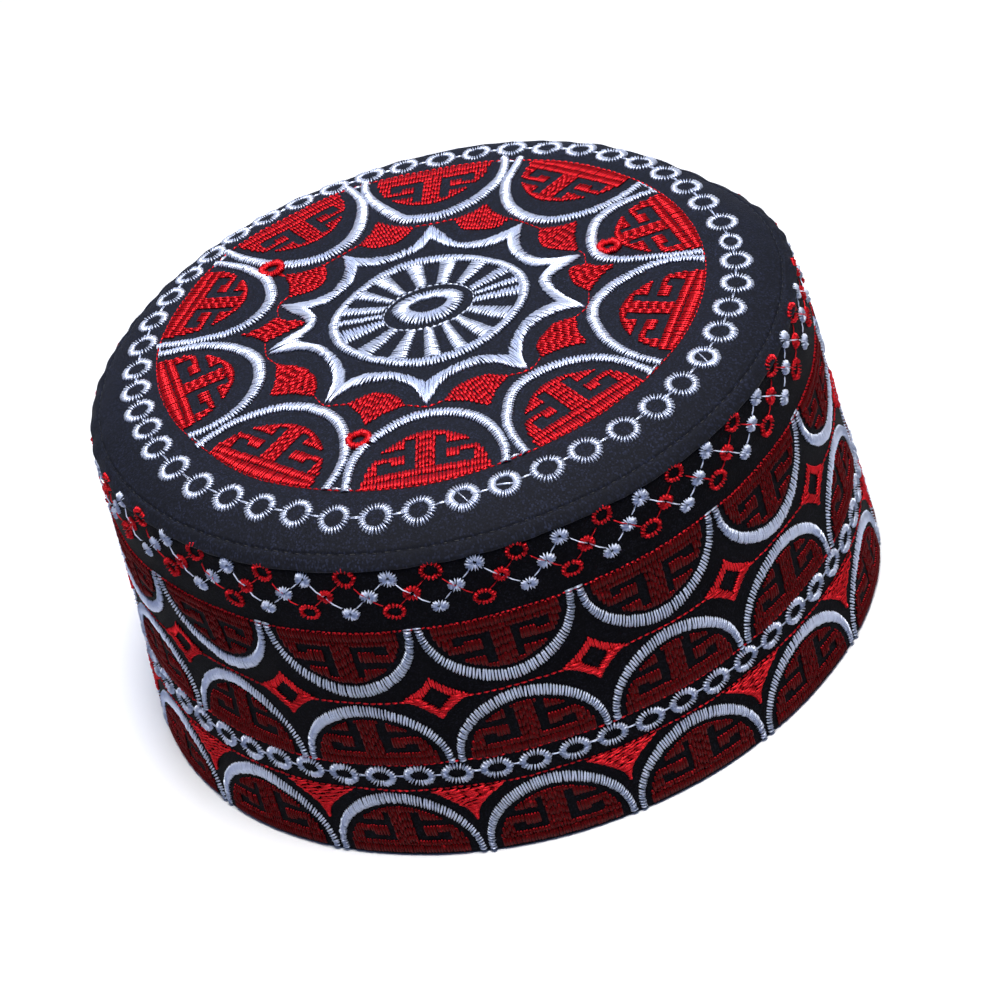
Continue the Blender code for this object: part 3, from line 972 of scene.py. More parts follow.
def twisted_thread(name, colour, darker, roughness, through_fibres, gloss=(1.0, 1.0, 1.0)):
    """Two-ply embroidery thread, machine sewn. Its fibres lie along the stitch, so its gloss is
    drawn out square to them, and a stitch that runs towards the light stays dark. Light that goes
    through the dyed fibres comes back in the same fan and in their colour, so that share of it is
    set as metallic. The twist of the plies breaks the gloss, and the tone differs a little from
    stitch to stitch. Where the strand field carries painted shade, the colour is painted darker in
    a stitch's middle and brighter at its ends."""
    material, tree = new_material(name)
    if tree is None:
        return material
    strand = add_node(tree, "ShaderNodeAttribute", attribute_name="strand")
    parts = add_node(tree, "ShaderNodeSeparateXYZ", {0: strand.outputs["Vector"]})
    slant = add_node(tree, "ShaderNodeMath", {0: parts.outputs["Y"], 1: 0.22}, operation="MULTIPLY")
    turned = add_node(tree, "ShaderNodeMath", {0: parts.outputs["X"], 1: slant.outputs[0]}, operation="ADD")
    phase = add_node(tree, "ShaderNodeMath", {0: turned.outputs[0], 1: 2 * math.pi / PLY_TURN},
                     operation="MULTIPLY")
    plies = add_node(tree, "ShaderNodeMath", {0: phase.outputs[0]}, operation="SINE")
    place_in_cap = add_node(tree, "ShaderNodeTexCoord")
    patchiness = add_node(tree, "ShaderNodeTexNoise",
                    {"Vector": place_in_cap.outputs["Object"], "Scale": 900.0, "Detail": 3.0})
    # The tone mixes towards the darker colour: random tone, and painted shade where a stitch is dimmed
    tone = add_node(tree, "ShaderNodeMath", {0: parts.outputs["Z"], 1: patchiness.outputs["Fac"]},
                    operation="MULTIPLY", use_clamp=True)
    mixed = add_node(tree, "ShaderNodeMix", {0: tone.outputs[0], 6: (*colour, 1.0), 7: (*darker, 1.0)},
                     data_type="RGBA")
    bump = add_node(tree, "ShaderNodeBump", {"Height": plies.outputs[0], "Distance": 0.00003,
                                             "Strength": 0.5})
    across = add_node(tree, "ShaderNodeAttribute", attribute_name="across")
    fibres = add_node(tree, "ShaderNodeVectorTransform", {0: across.outputs["Vector"]},
                      vector_type="VECTOR", convert_from="OBJECT", convert_to="WORLD")
    shader = add_node(tree, "ShaderNodeBsdfPrincipled",
                      {"Base Color": mixed.outputs[2], "Normal": bump.outputs[0], "IOR": 1.53,
                       "Roughness": roughness, "Metallic": through_fibres, "Anisotropic": 1.0,
                       "Specular Tint": (*gloss, 1.0), "Tangent": fibres.outputs[0]})
    add_node(tree, "ShaderNodeOutputMaterial", {"Surface": shader.outputs[0]})
    return material


def woven_cloth(name, colour, glint_colour, roughness, gloss):
    """Plain-woven, stiffened cotton: matt, with painted glints: a salt-and-pepper grain of single
    threads of the weave drawn brighter, as where they catch the light."""
    material, tree = new_material(name)
    if tree is None:
        return material
    weave = add_node(tree, "ShaderNodeAttribute", attribute_name="weave")
    crossing = add_node(tree, "ShaderNodeVectorMath",
                        {0: weave.outputs["Vector"], 1: (WEAVE_PITCH,) * 3}, operation="SNAP")
    thread = add_node(tree, "ShaderNodeTexWhiteNoise", {"Vector": crossing.outputs[0]})
    glint_specks = add_node(tree, "ShaderNodeMath", {0: thread.outputs["Value"], 1: 5.0}, operation="POWER")
    patchiness = add_node(tree, "ShaderNodeTexNoise",
                    {"Vector": weave.outputs["Vector"], "Scale": 0.09, "Detail": 4.0})
    patchy_glints = add_node(tree, "ShaderNodeMath", {0: glint_specks.outputs[0], 1: patchiness.outputs["Fac"]},
                    operation="MULTIPLY")
    # Painted glints: scattered threads of the weave mixed towards a colour many times the cloth's
    mixed = add_node(tree, "ShaderNodeMix", {0: patchy_glints.outputs[0], 6: (*colour, 1.0), 7: (*glint_colour, 1.0)},
                     data_type="RGBA")
    slub = add_node(tree, "ShaderNodeTexNoise",
                    {"Vector": weave.outputs["Vector"], "Scale": 1.6, "Detail": 3.0, "Roughness": 0.7})
    bump = add_node(tree, "ShaderNodeBump", {"Height": slub.outputs["Fac"], "Distance": 0.00035,
                                             "Strength": 0.7})
    shader = add_node(tree, "ShaderNodeBsdfPrincipled",
                      {"Base Color": mixed.outputs[2], "Normal": bump.outputs[0], "IOR": 1.5,
                       "Roughness": roughness, "Specular IOR Level": gloss})
    add_node(tree, "ShaderNodeOutputMaterial", {"Surface": shader.outputs[0]})
    return material


def scaled(colour, share):
    """A colour with its brightness changed."""
    return tuple(min(1.0, part * share) for part in colour)


def white_rayon(colours):
    """The white thread in satin and in the ring chains."""
    white = tuple(colours.white_thread)
    return twisted_thread("white_rayon_satin_thread", white, scaled(white, 0.78), 0.52, 0.60)


def lit_white_rayon(colours):
    """A lighter copy of the white thread, for the zigzag's short stitches: less of its tone is darkened and
    less of its light is gloss, so the zigzag under the crown's edge is drawn brighter, partly painted light.
    """
    white = tuple(colours.white_thread)
    # Painted light: a darker-tone share of 0.85 against the satin's 0.78, and less metallic gloss
    return twisted_thread("lit_copy_white_rayon_thread", white, scaled(white, 0.85), 0.52, 0.25)


def red_rayon(colours):
    """The red thread everywhere but in the wall's upright fills."""
    red = tuple(colours.red_thread)
    return twisted_thread("red_rayon_satin_thread", red, scaled(red, 0.50), 0.50, 0.70, (1.0, 0.5, 0.5))


def shaded_upright_red_rayon(colours):
    """The red thread in the wall's upright fills, as a shaded copy: painted shade makes it near black
    between the stitches' ends, and a painted highlight makes the ends brighter than the red thread."""
    red = tuple(colours.red_thread)
    # Painted highlight at the ends at 1.25 times the red, painted shade in the middles at a tenth of it, and
    # a darker gloss
    return twisted_thread("painted_shade_red_rayon_thread", scaled(red, 1.25), scaled(red, 0.10), 0.50, 0.35,
                          (0.6, 0.14, 0.14))


def black_cotton(colours):
    """Dull sewing thread."""
    black = tuple(colours.black_thread)
    return twisted_thread("black_cotton_sewing_thread", black, scaled(black, 0.6), 0.6, 0.0)


# Operators


def settings(context):
    """Sizes in millimetres that several operators use."""
    sizes = context.scene.kufi_sizes
    return {
        "crown": sizes.crown_satin / MM,
        "wall": sizes.wall_satin / MM,
        "columns": sizes.fill_spacing / MM,
        "width": sizes.thread_width / MM,
        "satin": sizes.satin_height / MM,
        "relief": sizes.satin_relief / MM,
        "fill_relief": sizes.fill_relief / MM,
        "fill": sizes.fill_height / MM,
        "fill_length": sizes.fill_length / MM,
    }


class KUFI_OT_crown_cloth(Operator):
    """Crown panel: charcoal cloth dome with a sewn groove and a rounded edge over the band"""

    bl_idname = "kufi.crown_cloth"
    bl_label = "Crown cloth"

    def execute(self, context):
        colours = context.scene.kufi_colours
        radii = np.concatenate([np.linspace(1.5, 82.0, 50), np.linspace(82.2, CROWN_CURVE[-1, 0], 32)])
        angles = np.arange(CLOTH_SEGMENTS) * 360.0 / CLOTH_SEGMENTS
        turn = np.radians(angles)
        face = crown_point(radii[:, None, None] * np.stack([np.cos(turn), np.sin(turn)], axis=-1), 0.0)
        normal = self.under_normal(radii)
        under_radii = radii[:, None] - CROWN_THICKNESS * normal[:, :1]
        under_heights = np.interp(radii, CROWN_CURVE[:, 0], CROWN_CURVE[:, 1])[:, None] \
            - CROWN_THICKNESS * normal[:, 1:]
        under = place(under_radii, under_heights, angles[None, :])
        lip = self.rounded_lip(face[-1], under[-1])
        rows = np.concatenate([face, lip, under[::-1]])
        count = len(rows)
        top = crown_point(np.zeros((1, 2)), 0.0)
        bottom = top - np.array([0.0, 0.0, CROWN_THICKNESS])
        points = np.concatenate([rows.reshape(-1, 3), top, bottom])
        quads = grid_quads(count, CLOTH_SEGMENTS)
        first = np.arange(CLOTH_SEGMENTS)
        after = (first + 1) % CLOTH_SEGMENTS
        last = (count - 1) * CLOTH_SEGMENTS
        pole = count * CLOTH_SEGMENTS
        caps = [np.stack([np.full_like(first, pole), first, after], axis=1),
                np.stack([np.full_like(first, pole + 1), last + after, last + first], axis=1)]
        finish = woven_cloth("charcoal_woven_cotton", tuple(colours.crown_cloth),
                             scaled(colours.crown_cloth, GLINT_BRIGHTNESS), 0.8, 0.18)
        piece = add_piece("crown_cloth", points, np.concatenate(caps), quads, finish,
                          {"weave": ("POINT", points * np.array([1.0, 1.0, 0.0]))})
        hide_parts("crown_panel")
        return {"FINISHED"}

    @staticmethod
    def under_normal(radii):
        """Directions square to the crown's profile, as (out, up), at each radius."""
        slope = np.interp(radii, CROWN_CURVE[:, 0], CROWN_SLOPE)
        return np.stack([-slope, np.ones_like(slope)], axis=1) / np.sqrt(1 + slope ** 2)[:, None]

    @staticmethod
    def rounded_lip(upper, lower, steps=6):
        """Rows of the half round between the face's edge and the under side's edge."""
        centre = (upper + lower) / 2
        arm = (upper - lower) / 2
        outward = centre * np.array([1.0, 1.0, 0.0])
        outward /= np.linalg.norm(outward, axis=1, keepdims=True)
        along = (outward * arm).sum(axis=1, keepdims=True)
        bulge = outward - arm * along / (arm ** 2).sum(axis=1, keepdims=True)
        bulge *= np.linalg.norm(arm, axis=1, keepdims=True) / np.linalg.norm(bulge, axis=1, keepdims=True)
        turns = [math.pi * step / steps for step in range(1, steps)]
        return np.array([centre + arm * math.cos(turn) + bulge * math.sin(turn) for turn in turns])


class KUFI_OT_band_cloth(Operator):
    """Side band: cloth wall, stiff and slightly flared, with a rounded rim; drawn darker and less glossy
    than the crown, as painted shade
    """

    bl_idname = "kufi.band_cloth"
    bl_label = "Band cloth"

    def execute(self, context):
        colours = context.scene.kufi_colours
        heights = np.linspace(BAND_TOP_HEIGHT, EDGE_ROUNDING, 92)
        angles = np.arange(CLOTH_SEGMENTS) * 360.0 / CLOTH_SEGMENTS
        flat = np.stack(np.meshgrid(angles, heights), axis=-1)
        face = wall_point(flat, 0.0)
        rim = [(RIM_RADIUS - inset, z) for inset, z in RIM_ROUNDING]
        rim += [(RIM_RADIUS - BAND_THICKNESS + inset, z) for inset, z in reversed(RIM_ROUNDING)]
        inner_top = BAND_TOP_RADIUS - BAND_THICKNESS
        inner_heights = np.linspace(EDGE_ROUNDING, self.below_crown(inner_top), 20)
        inner = [(RIM_RADIUS - BAND_THICKNESS - FLARE * z, z) for z in inner_heights]
        middle = inner_top + 0.5 * BAND_THICKNESS
        section = np.array([*rim, *inner, (middle, self.below_crown(middle))])
        back = place(section[:, :1], section[:, 1:], angles[None, :])
        rows = np.concatenate([face, back, face[:1]])
        points = rows[:-1].reshape(-1, 3)
        quads = grid_quads(len(rows), CLOTH_SEGMENTS) % len(points)
        travelled = np.concatenate([heights, -section[:, 1], heights[:1] + 4.0])
        weave = self.weave_corners(travelled)
        # Darker colour and lower gloss than the crown's cloth: painted shade on the cap's side
        finish = woven_cloth("band_cotton_painted_shade", tuple(colours.band_cloth),
                             scaled(colours.band_cloth, GLINT_BRIGHTNESS), 0.8, 0.05)
        piece = add_piece("band_cloth", points, np.empty((0, 3), int), quads, finish,
                          {"weave": ("CORNER", weave)})
        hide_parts("side_band")
        return {"FINISHED"}

    @staticmethod
    def below_crown(radius):
        """Height just clear of the crown's under side, at a radius near its edge."""
        slope = CROWN_SLOPE
        drop = (CROWN_THICKNESS + SEWING_GAP) / np.sqrt(1 + slope ** 2)
        under = np.stack([CROWN_CURVE[:, 0] + slope * drop, CROWN_CURVE[:, 1] - drop], axis=1)
        return float(np.interp(radius, under[:, 0], under[:, 1]))

    @staticmethod
    def weave_corners(travelled):
        """Place of every face corner on the flat cloth: round the wall, and up it."""
        columns = np.arange(CLOTH_SEGMENTS)
        step = 2 * math.pi * RIM_RADIUS / CLOTH_SEGMENTS
        row, column = np.meshgrid(np.arange(len(travelled) - 1), columns, indexing="ij")
        around = np.stack([column, column, column + 1, column + 1], axis=-1) * step
        up = np.stack([travelled[row], travelled[row + 1], travelled[row + 1], travelled[row]], axis=-1)
        return np.stack([around, up, np.zeros_like(up)], axis=-1).reshape(-1, 3)


class KUFI_OT_seam_stitching(Operator):
    """Dark running stitch in the groove round the crown's edge"""

    bl_idname = "kufi.seam_stitching"
    bl_label = "Seam stitching"

    def execute(self, context):
        work = Threadwork(CROWN, 11)
        turn = np.radians(np.linspace(0.0, 360.0, 721))
        circle = GROOVE_RADIUS * np.stack([np.cos(turn), np.sin(turn)], axis=1)
        starts, ends = run_of_stitches(circle, 2.2, 0.5)
        work.sew(starts, ends, 0.42, 0.22, LINE_SHAPE, 0.03)
        work.make("crown_edge_stitching", black_cotton(context.scene.kufi_colours), "black_thread")
        return {"FINISHED"}


class KUFI_OT_crown_chain(Operator):
    """White ring chain round the crown's margin"""

    bl_idname = "kufi.crown_chain"
    bl_label = "Crown ring chain"

    def execute(self, context):
        sizes = context.scene.kufi_sizes
        work = Threadwork(CROWN_PATTERN, 21)
        places = FIRST_RING_ANGLE - 360.0 / sizes.crown_rings * np.arange(sizes.crown_rings)
        places = places + stray(places, CHAIN_TURNS)
        for index, (angle, after) in enumerate(zip(places, np.roll(places, -1))):
            self.ring(work, index, angle, sizes)
            self.link(work, angle, after)
        work.make("crown_ring_chain", white_rayon(context.scene.kufi_colours), "white_thread")
        return {"FINISHED"}

    @staticmethod
    def reach(angle):
        """Radius of the chain at an angle."""
        return RING_CHAIN_RADIUS + stray(angle, CHAIN_STRAYS)

    def ring(self, work, index, angle, sizes):
        dense = index in DENSE_RINGS
        teeth = sizes.ring_teeth + (DENSE_EXTRA_TEETH if dense else 0)
        size = RING_SIZE + work.random.uniform(-0.12, 0.12)
        hole = RING_HOLE - (0.25 if dense else 0.0)
        squash = SQUASH if index == SQUASHED_RING else 1.0
        inner, outer = ring_teeth(teeth, (hole, hole * squash), (size, size * squash),
                                  work.random.uniform(0, 1))
        drift = work.random.normal(0.0, 0.12, 2)
        reach = self.reach(angle)
        work.sew(on_crown(inner + drift, angle, reach), on_crown(outer + drift, angle, reach),
                 DENSE_THREAD if dense else RING_THREAD, 0.80, TOOTH_SHAPE, 0.06)
        if dense:
            turn = math.radians(DENSE_RINGS[index])
            ray = np.array([[math.cos(turn), math.sin(turn)]]) * 2.3
            work.sew(on_crown(-ray, angle, reach), on_crown(ray, angle, reach), 0.28, 0.6, LINE_SHAPE, 0.02)

    def link(self, work, angle, after):
        """Two thin threads from one ring to the next."""
        first = on_crown(np.zeros((1, 2)), angle, self.reach(angle))
        last = on_crown(np.zeros((1, 2)), after, self.reach(after))
        along = (last - first) / np.linalg.norm(last - first)
        side = np.array([[-along[0, 1], along[0, 0]]])
        for offset in (-0.17, 0.17):
            work.sew(first + along * LINK_START + side * offset,
                     last - along * LINK_START + side * offset * 0.4, 0.27, 0.34, LINE_SHAPE, 0.05)


class KUFI_OT_crown_scallops(Operator):
    """White satin scallops round the crown, with the short caps that join their feet"""

    bl_idname = "kufi.crown_scallops"
    bl_label = "Crown scallops"

    def execute(self, context):
        use = settings(context)
        work = Threadwork(CROWN_PATTERN, 31)
        for nose, _, points in SCALLOPS:
            line = even_line(points)
            turn = np.linspace(0.0, math.pi, len(line))
            widths = SCALLOP_LEG + (nose - SCALLOP_LEG) * np.sin(turn) ** SCALLOP_SWELL
            starts, ends = clear_of_eyelets(*satin_between(*strip_edges(line, widths), use["crown"]))
            work.satin(starts, ends, use, 0.06)
        for (_, _, before), (_, _, after) in zip(SCALLOPS, SCALLOPS[1:] + SCALLOPS[:1]):
            feet = np.array([before[-1], after[0]])
            along = feet[1] - feet[0]
            along /= np.linalg.norm(along)
            cap = through([feet[0] - along * CAP_REACH, feet.mean(axis=0), feet[1] + along * CAP_REACH])
            cap *= ((border_at(cap) - CAP_INSET) / np.linalg.norm(cap, axis=1))[:, None]
            starts, ends = run_of_stitches(cap, 2.2, 0.1)
            work.sew(starts, ends, 0.5, 0.6, LINE_SHAPE, 0.05)
        work.make("crown_scallops", white_rayon(context.scene.kufi_colours), "white_thread")
        return {"FINISHED"}


class KUFI_OT_crown_frets(Operator):
    """Red fret fills inside the crown's scallops"""

    bl_idname = "kufi.crown_frets"
    bl_label = "Crown frets"

    def execute(self, context):
        use = settings(context)
        work = Threadwork(CROWN_PATTERN, 41)
        for _, half, points in SCALLOPS:
            frame = ScallopFrame(points)
            region = fret_region(half, SCALLOP_FILL_DEPTH, CROWN_FRET_ROWS, frame.border)
            starts, ends = fill_with_columns(
                region, (-half, half), (0.0, SCALLOP_FILL_DEPTH), use["columns"], use["fill_length"],
                work.random, SCALLOP_FILL_CUTS)
            work.fill(frame.place(starts), frame.place(ends), use)
        work.make("crown_fret_fills", red_rayon(context.scene.kufi_colours), "red_thread")
        return {"FINISHED"}


class KUFI_OT_crown_petals(Operator):
    """White satin petals between the scallops and the medallion"""

    bl_idname = "kufi.crown_petals"
    bl_label = "Crown petals"

    def execute(self, context):
        use = settings(context)
        work = Threadwork(CROWN_PATTERN, 51)
        for gap_side, centre_side in PETALS:
            starts, ends = satin_between(even_line(gap_side), even_line(centre_side), use["crown"])
            work.satin(starts, ends, use, 0.13)
        work.make("crown_petals", white_rayon(context.scene.kufi_colours), "white_thread")
        return {"FINISHED"}


class KUFI_OT_crown_kites(Operator):
    """Red kites between scallops and petals, and the three red eyelets"""

    bl_idname = "kufi.crown_kites"
    bl_label = "Crown kites and eyelets"

    def execute(self, context):
        use = settings(context)
        work = Threadwork(CROWN_PATTERN, 61)
        for apex, base in KITES:
            outline = self.outline(np.array(apex), base)
            middle = outline.mean(axis=0)
            up = np.array(apex) - (np.array(base[0]) + np.array(base[-1])) / 2
            up /= np.linalg.norm(up)
            across = np.array([up[1], -up[0]])
            flat = np.stack([(outline - middle) @ across, (outline - middle) @ up], axis=1)
            low, high = flat.min(axis=0), flat.max(axis=0)
            starts, ends = fill_with_columns(
                lambda u, v: within(flat, u, v), (low[0], high[0]), (low[1], high[1]), use["columns"],
                use["fill_length"], work.random)
            starts, ends = (middle + at[:, :1] * across + at[:, 1:] * up for at in (starts, ends))
            work.fill(starts, ends, use)
        for centre, size, hole in RED_EYELETS:
            inner, outer = ring_teeth(EYELET_STITCHES, hole, size)
            work.sew(inner + centre, outer + centre, 0.62, 1.5, SATIN_SHAPE, 0.05, 0.8)
        tail = np.array(EYELET_TAIL)
        for offset in (-0.35, 0.0, 0.35):
            work.sew(tail[:1] + (offset, offset * 0.5), tail[1:] + (offset * 0.3, 0.0),
                     0.5, 0.4, LINE_SHAPE)
        work.make("crown_kites_and_eyelets", red_rayon(context.scene.kufi_colours), "red_thread")
        return {"FINISHED"}

    @staticmethod
    def outline(apex, base):
        """A kite's outline: its bulging base, and two sides that bow a little inward."""
        curve = through(base)
        sides = []
        for tip, other in ((curve[-1], curve[0]), (curve[0], curve[-1])):
            middle = (tip + apex) / 2
            inward = other - middle
            sides.append(middle + inward / np.linalg.norm(inward) * KITE_HOLLOW)
        return np.concatenate([curve, [sides[0], apex, sides[1]]])


class KUFI_OT_crown_medallion(Operator):
    """White medallion: satin ring, spokes, thin oval and the eye"""

    bl_idname = "kufi.crown_medallion"
    bl_label = "Crown medallion"

    def execute(self, context):
        use = settings(context)
        work = Threadwork(CROWN_PATTERN, 71)
        turn = np.linspace(0.0, 2 * math.pi, 361)
        rays = np.stack([np.cos(turn), np.sin(turn)], axis=1)
        inside = rays * self.ring_inside(turn)[:, None]
        outside = rays * self.ring_outside(turn)[:, None]
        starts, ends = satin_between(inside, outside, use["crown"])
        work.satin(starts, ends, use)
        for wedge, after in zip(WEDGES, (*WEDGES[1:], tuple(angle - 360.0 for angle in WEDGES[0]))):
            self.spoke(work, (wedge[0], wedge[2]), (after[1], after[3]), use)
        starts, ends = run_of_stitches(np.array(OVAL_CENTRE) + rays * OVAL_LINE, 1.5, 0.2)
        work.sew(starts, ends, 0.4, 0.5, LINE_SHAPE, 0.05)
        starts, ends = satin_between(almond(*EYE_SLIT), almond(*EYE_OUTLINE), use["crown"] * 0.9)
        work.satin(starts, ends, use)
        work.make("crown_medallion", white_rayon(context.scene.kufi_colours), "white_thread")
        return {"FINISHED"}

    @staticmethod
    def ring_outside(turn):
        """The ring is wider than deep, drawn out to the front, with a soft point at either side."""
        return MEDALLION_RADIUS - 1.5 * np.sin(turn) + 0.5 * np.cos(2 * turn) - 0.4 * np.sin(2 * turn) \
            + 0.7 * np.cos(4 * turn)

    def ring_inside(self, turn):
        """The satin is narrower at the sides."""
        satin = MEDALLION_SATIN - 0.45 * np.cos(2 * turn) + 0.35 * np.cos(4 * turn)
        return self.ring_outside(turn) - satin

    def spoke(self, work, near, far, use):
        """Stitches across a spoke. Its edges are given as their angles at the oval and at the ring."""
        edges = []
        for inner, outer in (near, far):
            inner = math.radians(inner)
            outer = math.radians(outer)
            reach = 1.0 / math.hypot(math.cos(inner) / OVAL_LINE[0], math.sin(inner) / OVAL_LINE[1]) + 0.4
            start = reach * np.array([math.cos(inner), math.sin(inner)]) + OVAL_CENTRE
            end = (self.ring_inside(outer) + 0.5) * np.array([math.cos(outer), math.sin(outer)])
            edges.append(np.array([start, end]))
        starts, ends = satin_between(*edges, use["crown"] * 1.05)
        work.sew(starts, ends, use["width"], use["satin"] * 0.8, SATIN_SHAPE, 0.06, use["relief"])


class KUFI_OT_crown_lines(Operator):
    """Red running stitches: the scallops' border and the thin circle of the petals"""

    bl_idname = "kufi.crown_lines"
    bl_label = "Crown red lines"

    def execute(self, context):
        work = Threadwork(CROWN_PATTERN, 81)
        turn = np.linspace(0.0, 2 * math.pi, 721)
        rays = np.stack([np.cos(turn), np.sin(turn)], axis=1)
        starts, ends = run_of_stitches(rays * (border_at(rays) + 0.1)[:, None], *RUNNING_STITCH)
        work.sew(starts, ends, 0.45, 0.42, LINE_SHAPE, 0.05)
        for (_, base), (gap_side, _), (_, after) in zip(KITES, PETALS, KITES[1:] + KITES[:1]):
            starts, ends = run_of_stitches(through([base[-1], gap_side[-1], after[0]]), *RUNNING_STITCH)
            work.sew(starts, ends, 0.45, 0.45, LINE_SHAPE, 0.05)
        work.make("crown_red_lines", red_rayon(context.scene.kufi_colours), "red_thread")
        return {"FINISHED"}


class KUFI_OT_zigzag(Operator):
    """White and red flowers joined in two crossing zigzags under the seam"""

    bl_idname = "kufi.zigzag"
    bl_label = "Flower zigzag"

    def execute(self, context):
        sizes = context.scene.kufi_sizes
        colours = context.scene.kufi_colours
        step = 360.0 / sizes.zigzag_repeats
        works = {"white": Threadwork(ZIGZAG_WALL, 91), "red": Threadwork(ZIGZAG_WALL, 92)}
        shapes = {"white": TOOTH_SHAPE, "red": SATIN_SHAPE}
        for index in range(sizes.zigzag_repeats):
            start = ZIGZAG_START + step * index
            for thread, share, row, rise, *flower in ZIGZAG_FLOWERS:
                self.flower(works[thread], start + share * step, ZIGZAG_ROWS[row] + rise, *flower,
                            shapes[thread])
            for thread, *link in ZIGZAG_LINKS:
                self.link(works[thread], start, step, *link)
        works["white"].make("wall_zigzag_white", lit_white_rayon(colours), "white_thread")
        works["red"].make("wall_zigzag_red", red_rayon(colours), "red_thread")
        return {"FINISHED"}

    @staticmethod
    def flower(work, angle, height, teeth, hole, size, width, shape):
        """A small round of stitches, a little off its place and its size."""
        drift = work.random.normal(0.0, 0.15, 2)
        stretch = work.random.uniform(0.93, 1.07)
        inner, outer = ring_teeth(teeth, np.array(hole) * stretch, np.array(size) * stretch,
                                  work.random.uniform(0, 1))
        work.sew(on_wall(inner + drift, angle, height), on_wall(outer + drift, angle, height),
                 width, 0.92, shape, 0.08)

    @staticmethod
    def link(work, start, step, first, last, near, far):
        """A straight thread from corner to corner."""
        unit = np.array([mm_per_degree(LINK_LEVEL), 1.0])
        first, last = (np.array([start + share * step, ZIGZAG_ROWS[row]]) for share, row in (first, last))
        length = np.linalg.norm((last - first) * unit)
        line = np.array([first + (last - first) * near / length, last - (last - first) * far / length])
        starts, ends = run_of_stitches(line * unit, 4.0, 0.1)
        height = LINK_OVER_FLOWER if 0.0 in (near, far) else LINK_HEIGHT
        work.sew(starts / unit, ends / unit, 0.31, height, LINE_SHAPE, 0.05, 0.26)


class KUFI_OT_wall_arches(Operator):
    """White satin arches of the wall's three tiers, and the caps over the upper feet"""

    bl_idname = "kufi.wall_arches"
    bl_label = "Wall arches"

    def execute(self, context):
        use = settings(context)
        arches = context.scene.kufi_sizes.arches
        for number, (name, base, way, depth, leg, nose, _) in enumerate(WALL_TIERS):
            work = Threadwork(CROWDED_WALL, 101 + number)
            half = ARCH_HALF_STEP * 180.0 / arches * mm_per_degree(base + way * MOTIF_MIDDLE)
            outer = arch_outline(half, depth)
            inner = arch_outline(half - leg, depth - nose)
            starts, ends = satin_between(inner, outer, use["wall"], 0.07)
            for index in range(arches):
                angle = FRONT_JUNCTION + (index + 0.5) * 360.0 / arches
                work.sew(on_wall(starts, angle, base, way), on_wall(ends, angle, base, way),
                         use["width"] * 1.04, use["satin"] * 0.85, SATIN_SHAPE, 0.07, 0.5)
                if way < 0:
                    cap = on_wall(np.array(ARCH_CAP), angle + 180.0 / arches, base, way)
                    work.sew(cap[:-1], cap[1:], 0.5, 0.5, LINE_SHAPE, 0.06)
            work.make(f"wall_{name}_arches", white_rayon(context.scene.kufi_colours), "white_thread")
        return {"FINISHED"}


class KUFI_OT_wall_frets(Operator):
    """Red fret fills inside the wall's arches"""

    bl_idname = "kufi.wall_frets"
    bl_label = "Wall frets"

    def execute(self, context):
        use = settings(context)
        arches = context.scene.kufi_sizes.arches
        for number, (name, base, way, _, _, _, depth) in enumerate(WALL_TIERS):
            work = Threadwork(CROWDED_WALL, 111 + number)
            half = ARCH_FILL_SHARE * 180.0 / arches * mm_per_degree(base + way * MOTIF_MIDDLE)
            region = fret_region(half, depth, WALL_FRET_ROWS, np.zeros_like)
            for index in range(arches):
                angle = FRONT_JUNCTION + (index + 0.5) * 360.0 / arches
                starts, ends = fill_with_columns(region, (-half, half), (0.0, depth), use["columns"],
                                                 use["fill_length"], work.random, WALL_FILL_CUTS)
                # These fills carry painted shade along their stitches and painted highlights at their ends
                work.fill(on_wall(starts, angle, base, way), on_wall(ends, angle, base, way), use,
                          WALL_FILL_PAINTED_SHADE)
            finish = shaded_upright_red_rayon(context.scene.kufi_colours)
            work.make(f"wall_{name}_fret_fills", finish, "red_thread")
        return {"FINISHED"}


class KUFI_OT_wall_chain(Operator):
    """White ring chain between the middle and lower arches"""

    bl_idname = "kufi.wall_chain"
    bl_label = "Wall ring chain"

    def execute(self, context):
        sizes = context.scene.kufi_sizes
        work = Threadwork(CROWDED_WALL, 121)
        count = sizes.arches * sizes.rings_per_arch
        step = 360.0 / count
        half = step / 2 * mm_per_degree(RING_ROW_HEIGHT)
        for index in range(count):
            angle = FRONT_JUNCTION + RING_ROW_TURN + step * index
            inner, outer = ring_teeth(sizes.ring_teeth - 3, RING_ROW_HOLE, RING_ROW_SIZE,
                                      work.random.uniform(0, 1))
            drift = work.random.normal(0.0, 0.15, 2)
            work.sew(on_wall(inner + drift, angle, RING_ROW_HEIGHT),
                     on_wall(outer + drift, angle, RING_ROW_HEIGHT), RING_THREAD, 0.92, TOOTH_SHAPE, 0.06)
            for offset in (-0.15, 0.2):
                line = np.array([[half - RING_ROW_LINK, offset], [half + RING_ROW_LINK, -offset]])
                at = on_wall(line, angle, RING_ROW_HEIGHT)
                work.sew(at[:1], at[1:], 0.28, 0.36, LINE_SHAPE, 0.06)
        work.make("wall_ring_chain", white_rayon(context.scene.kufi_colours), "white_thread")
        return {"FINISHED"}


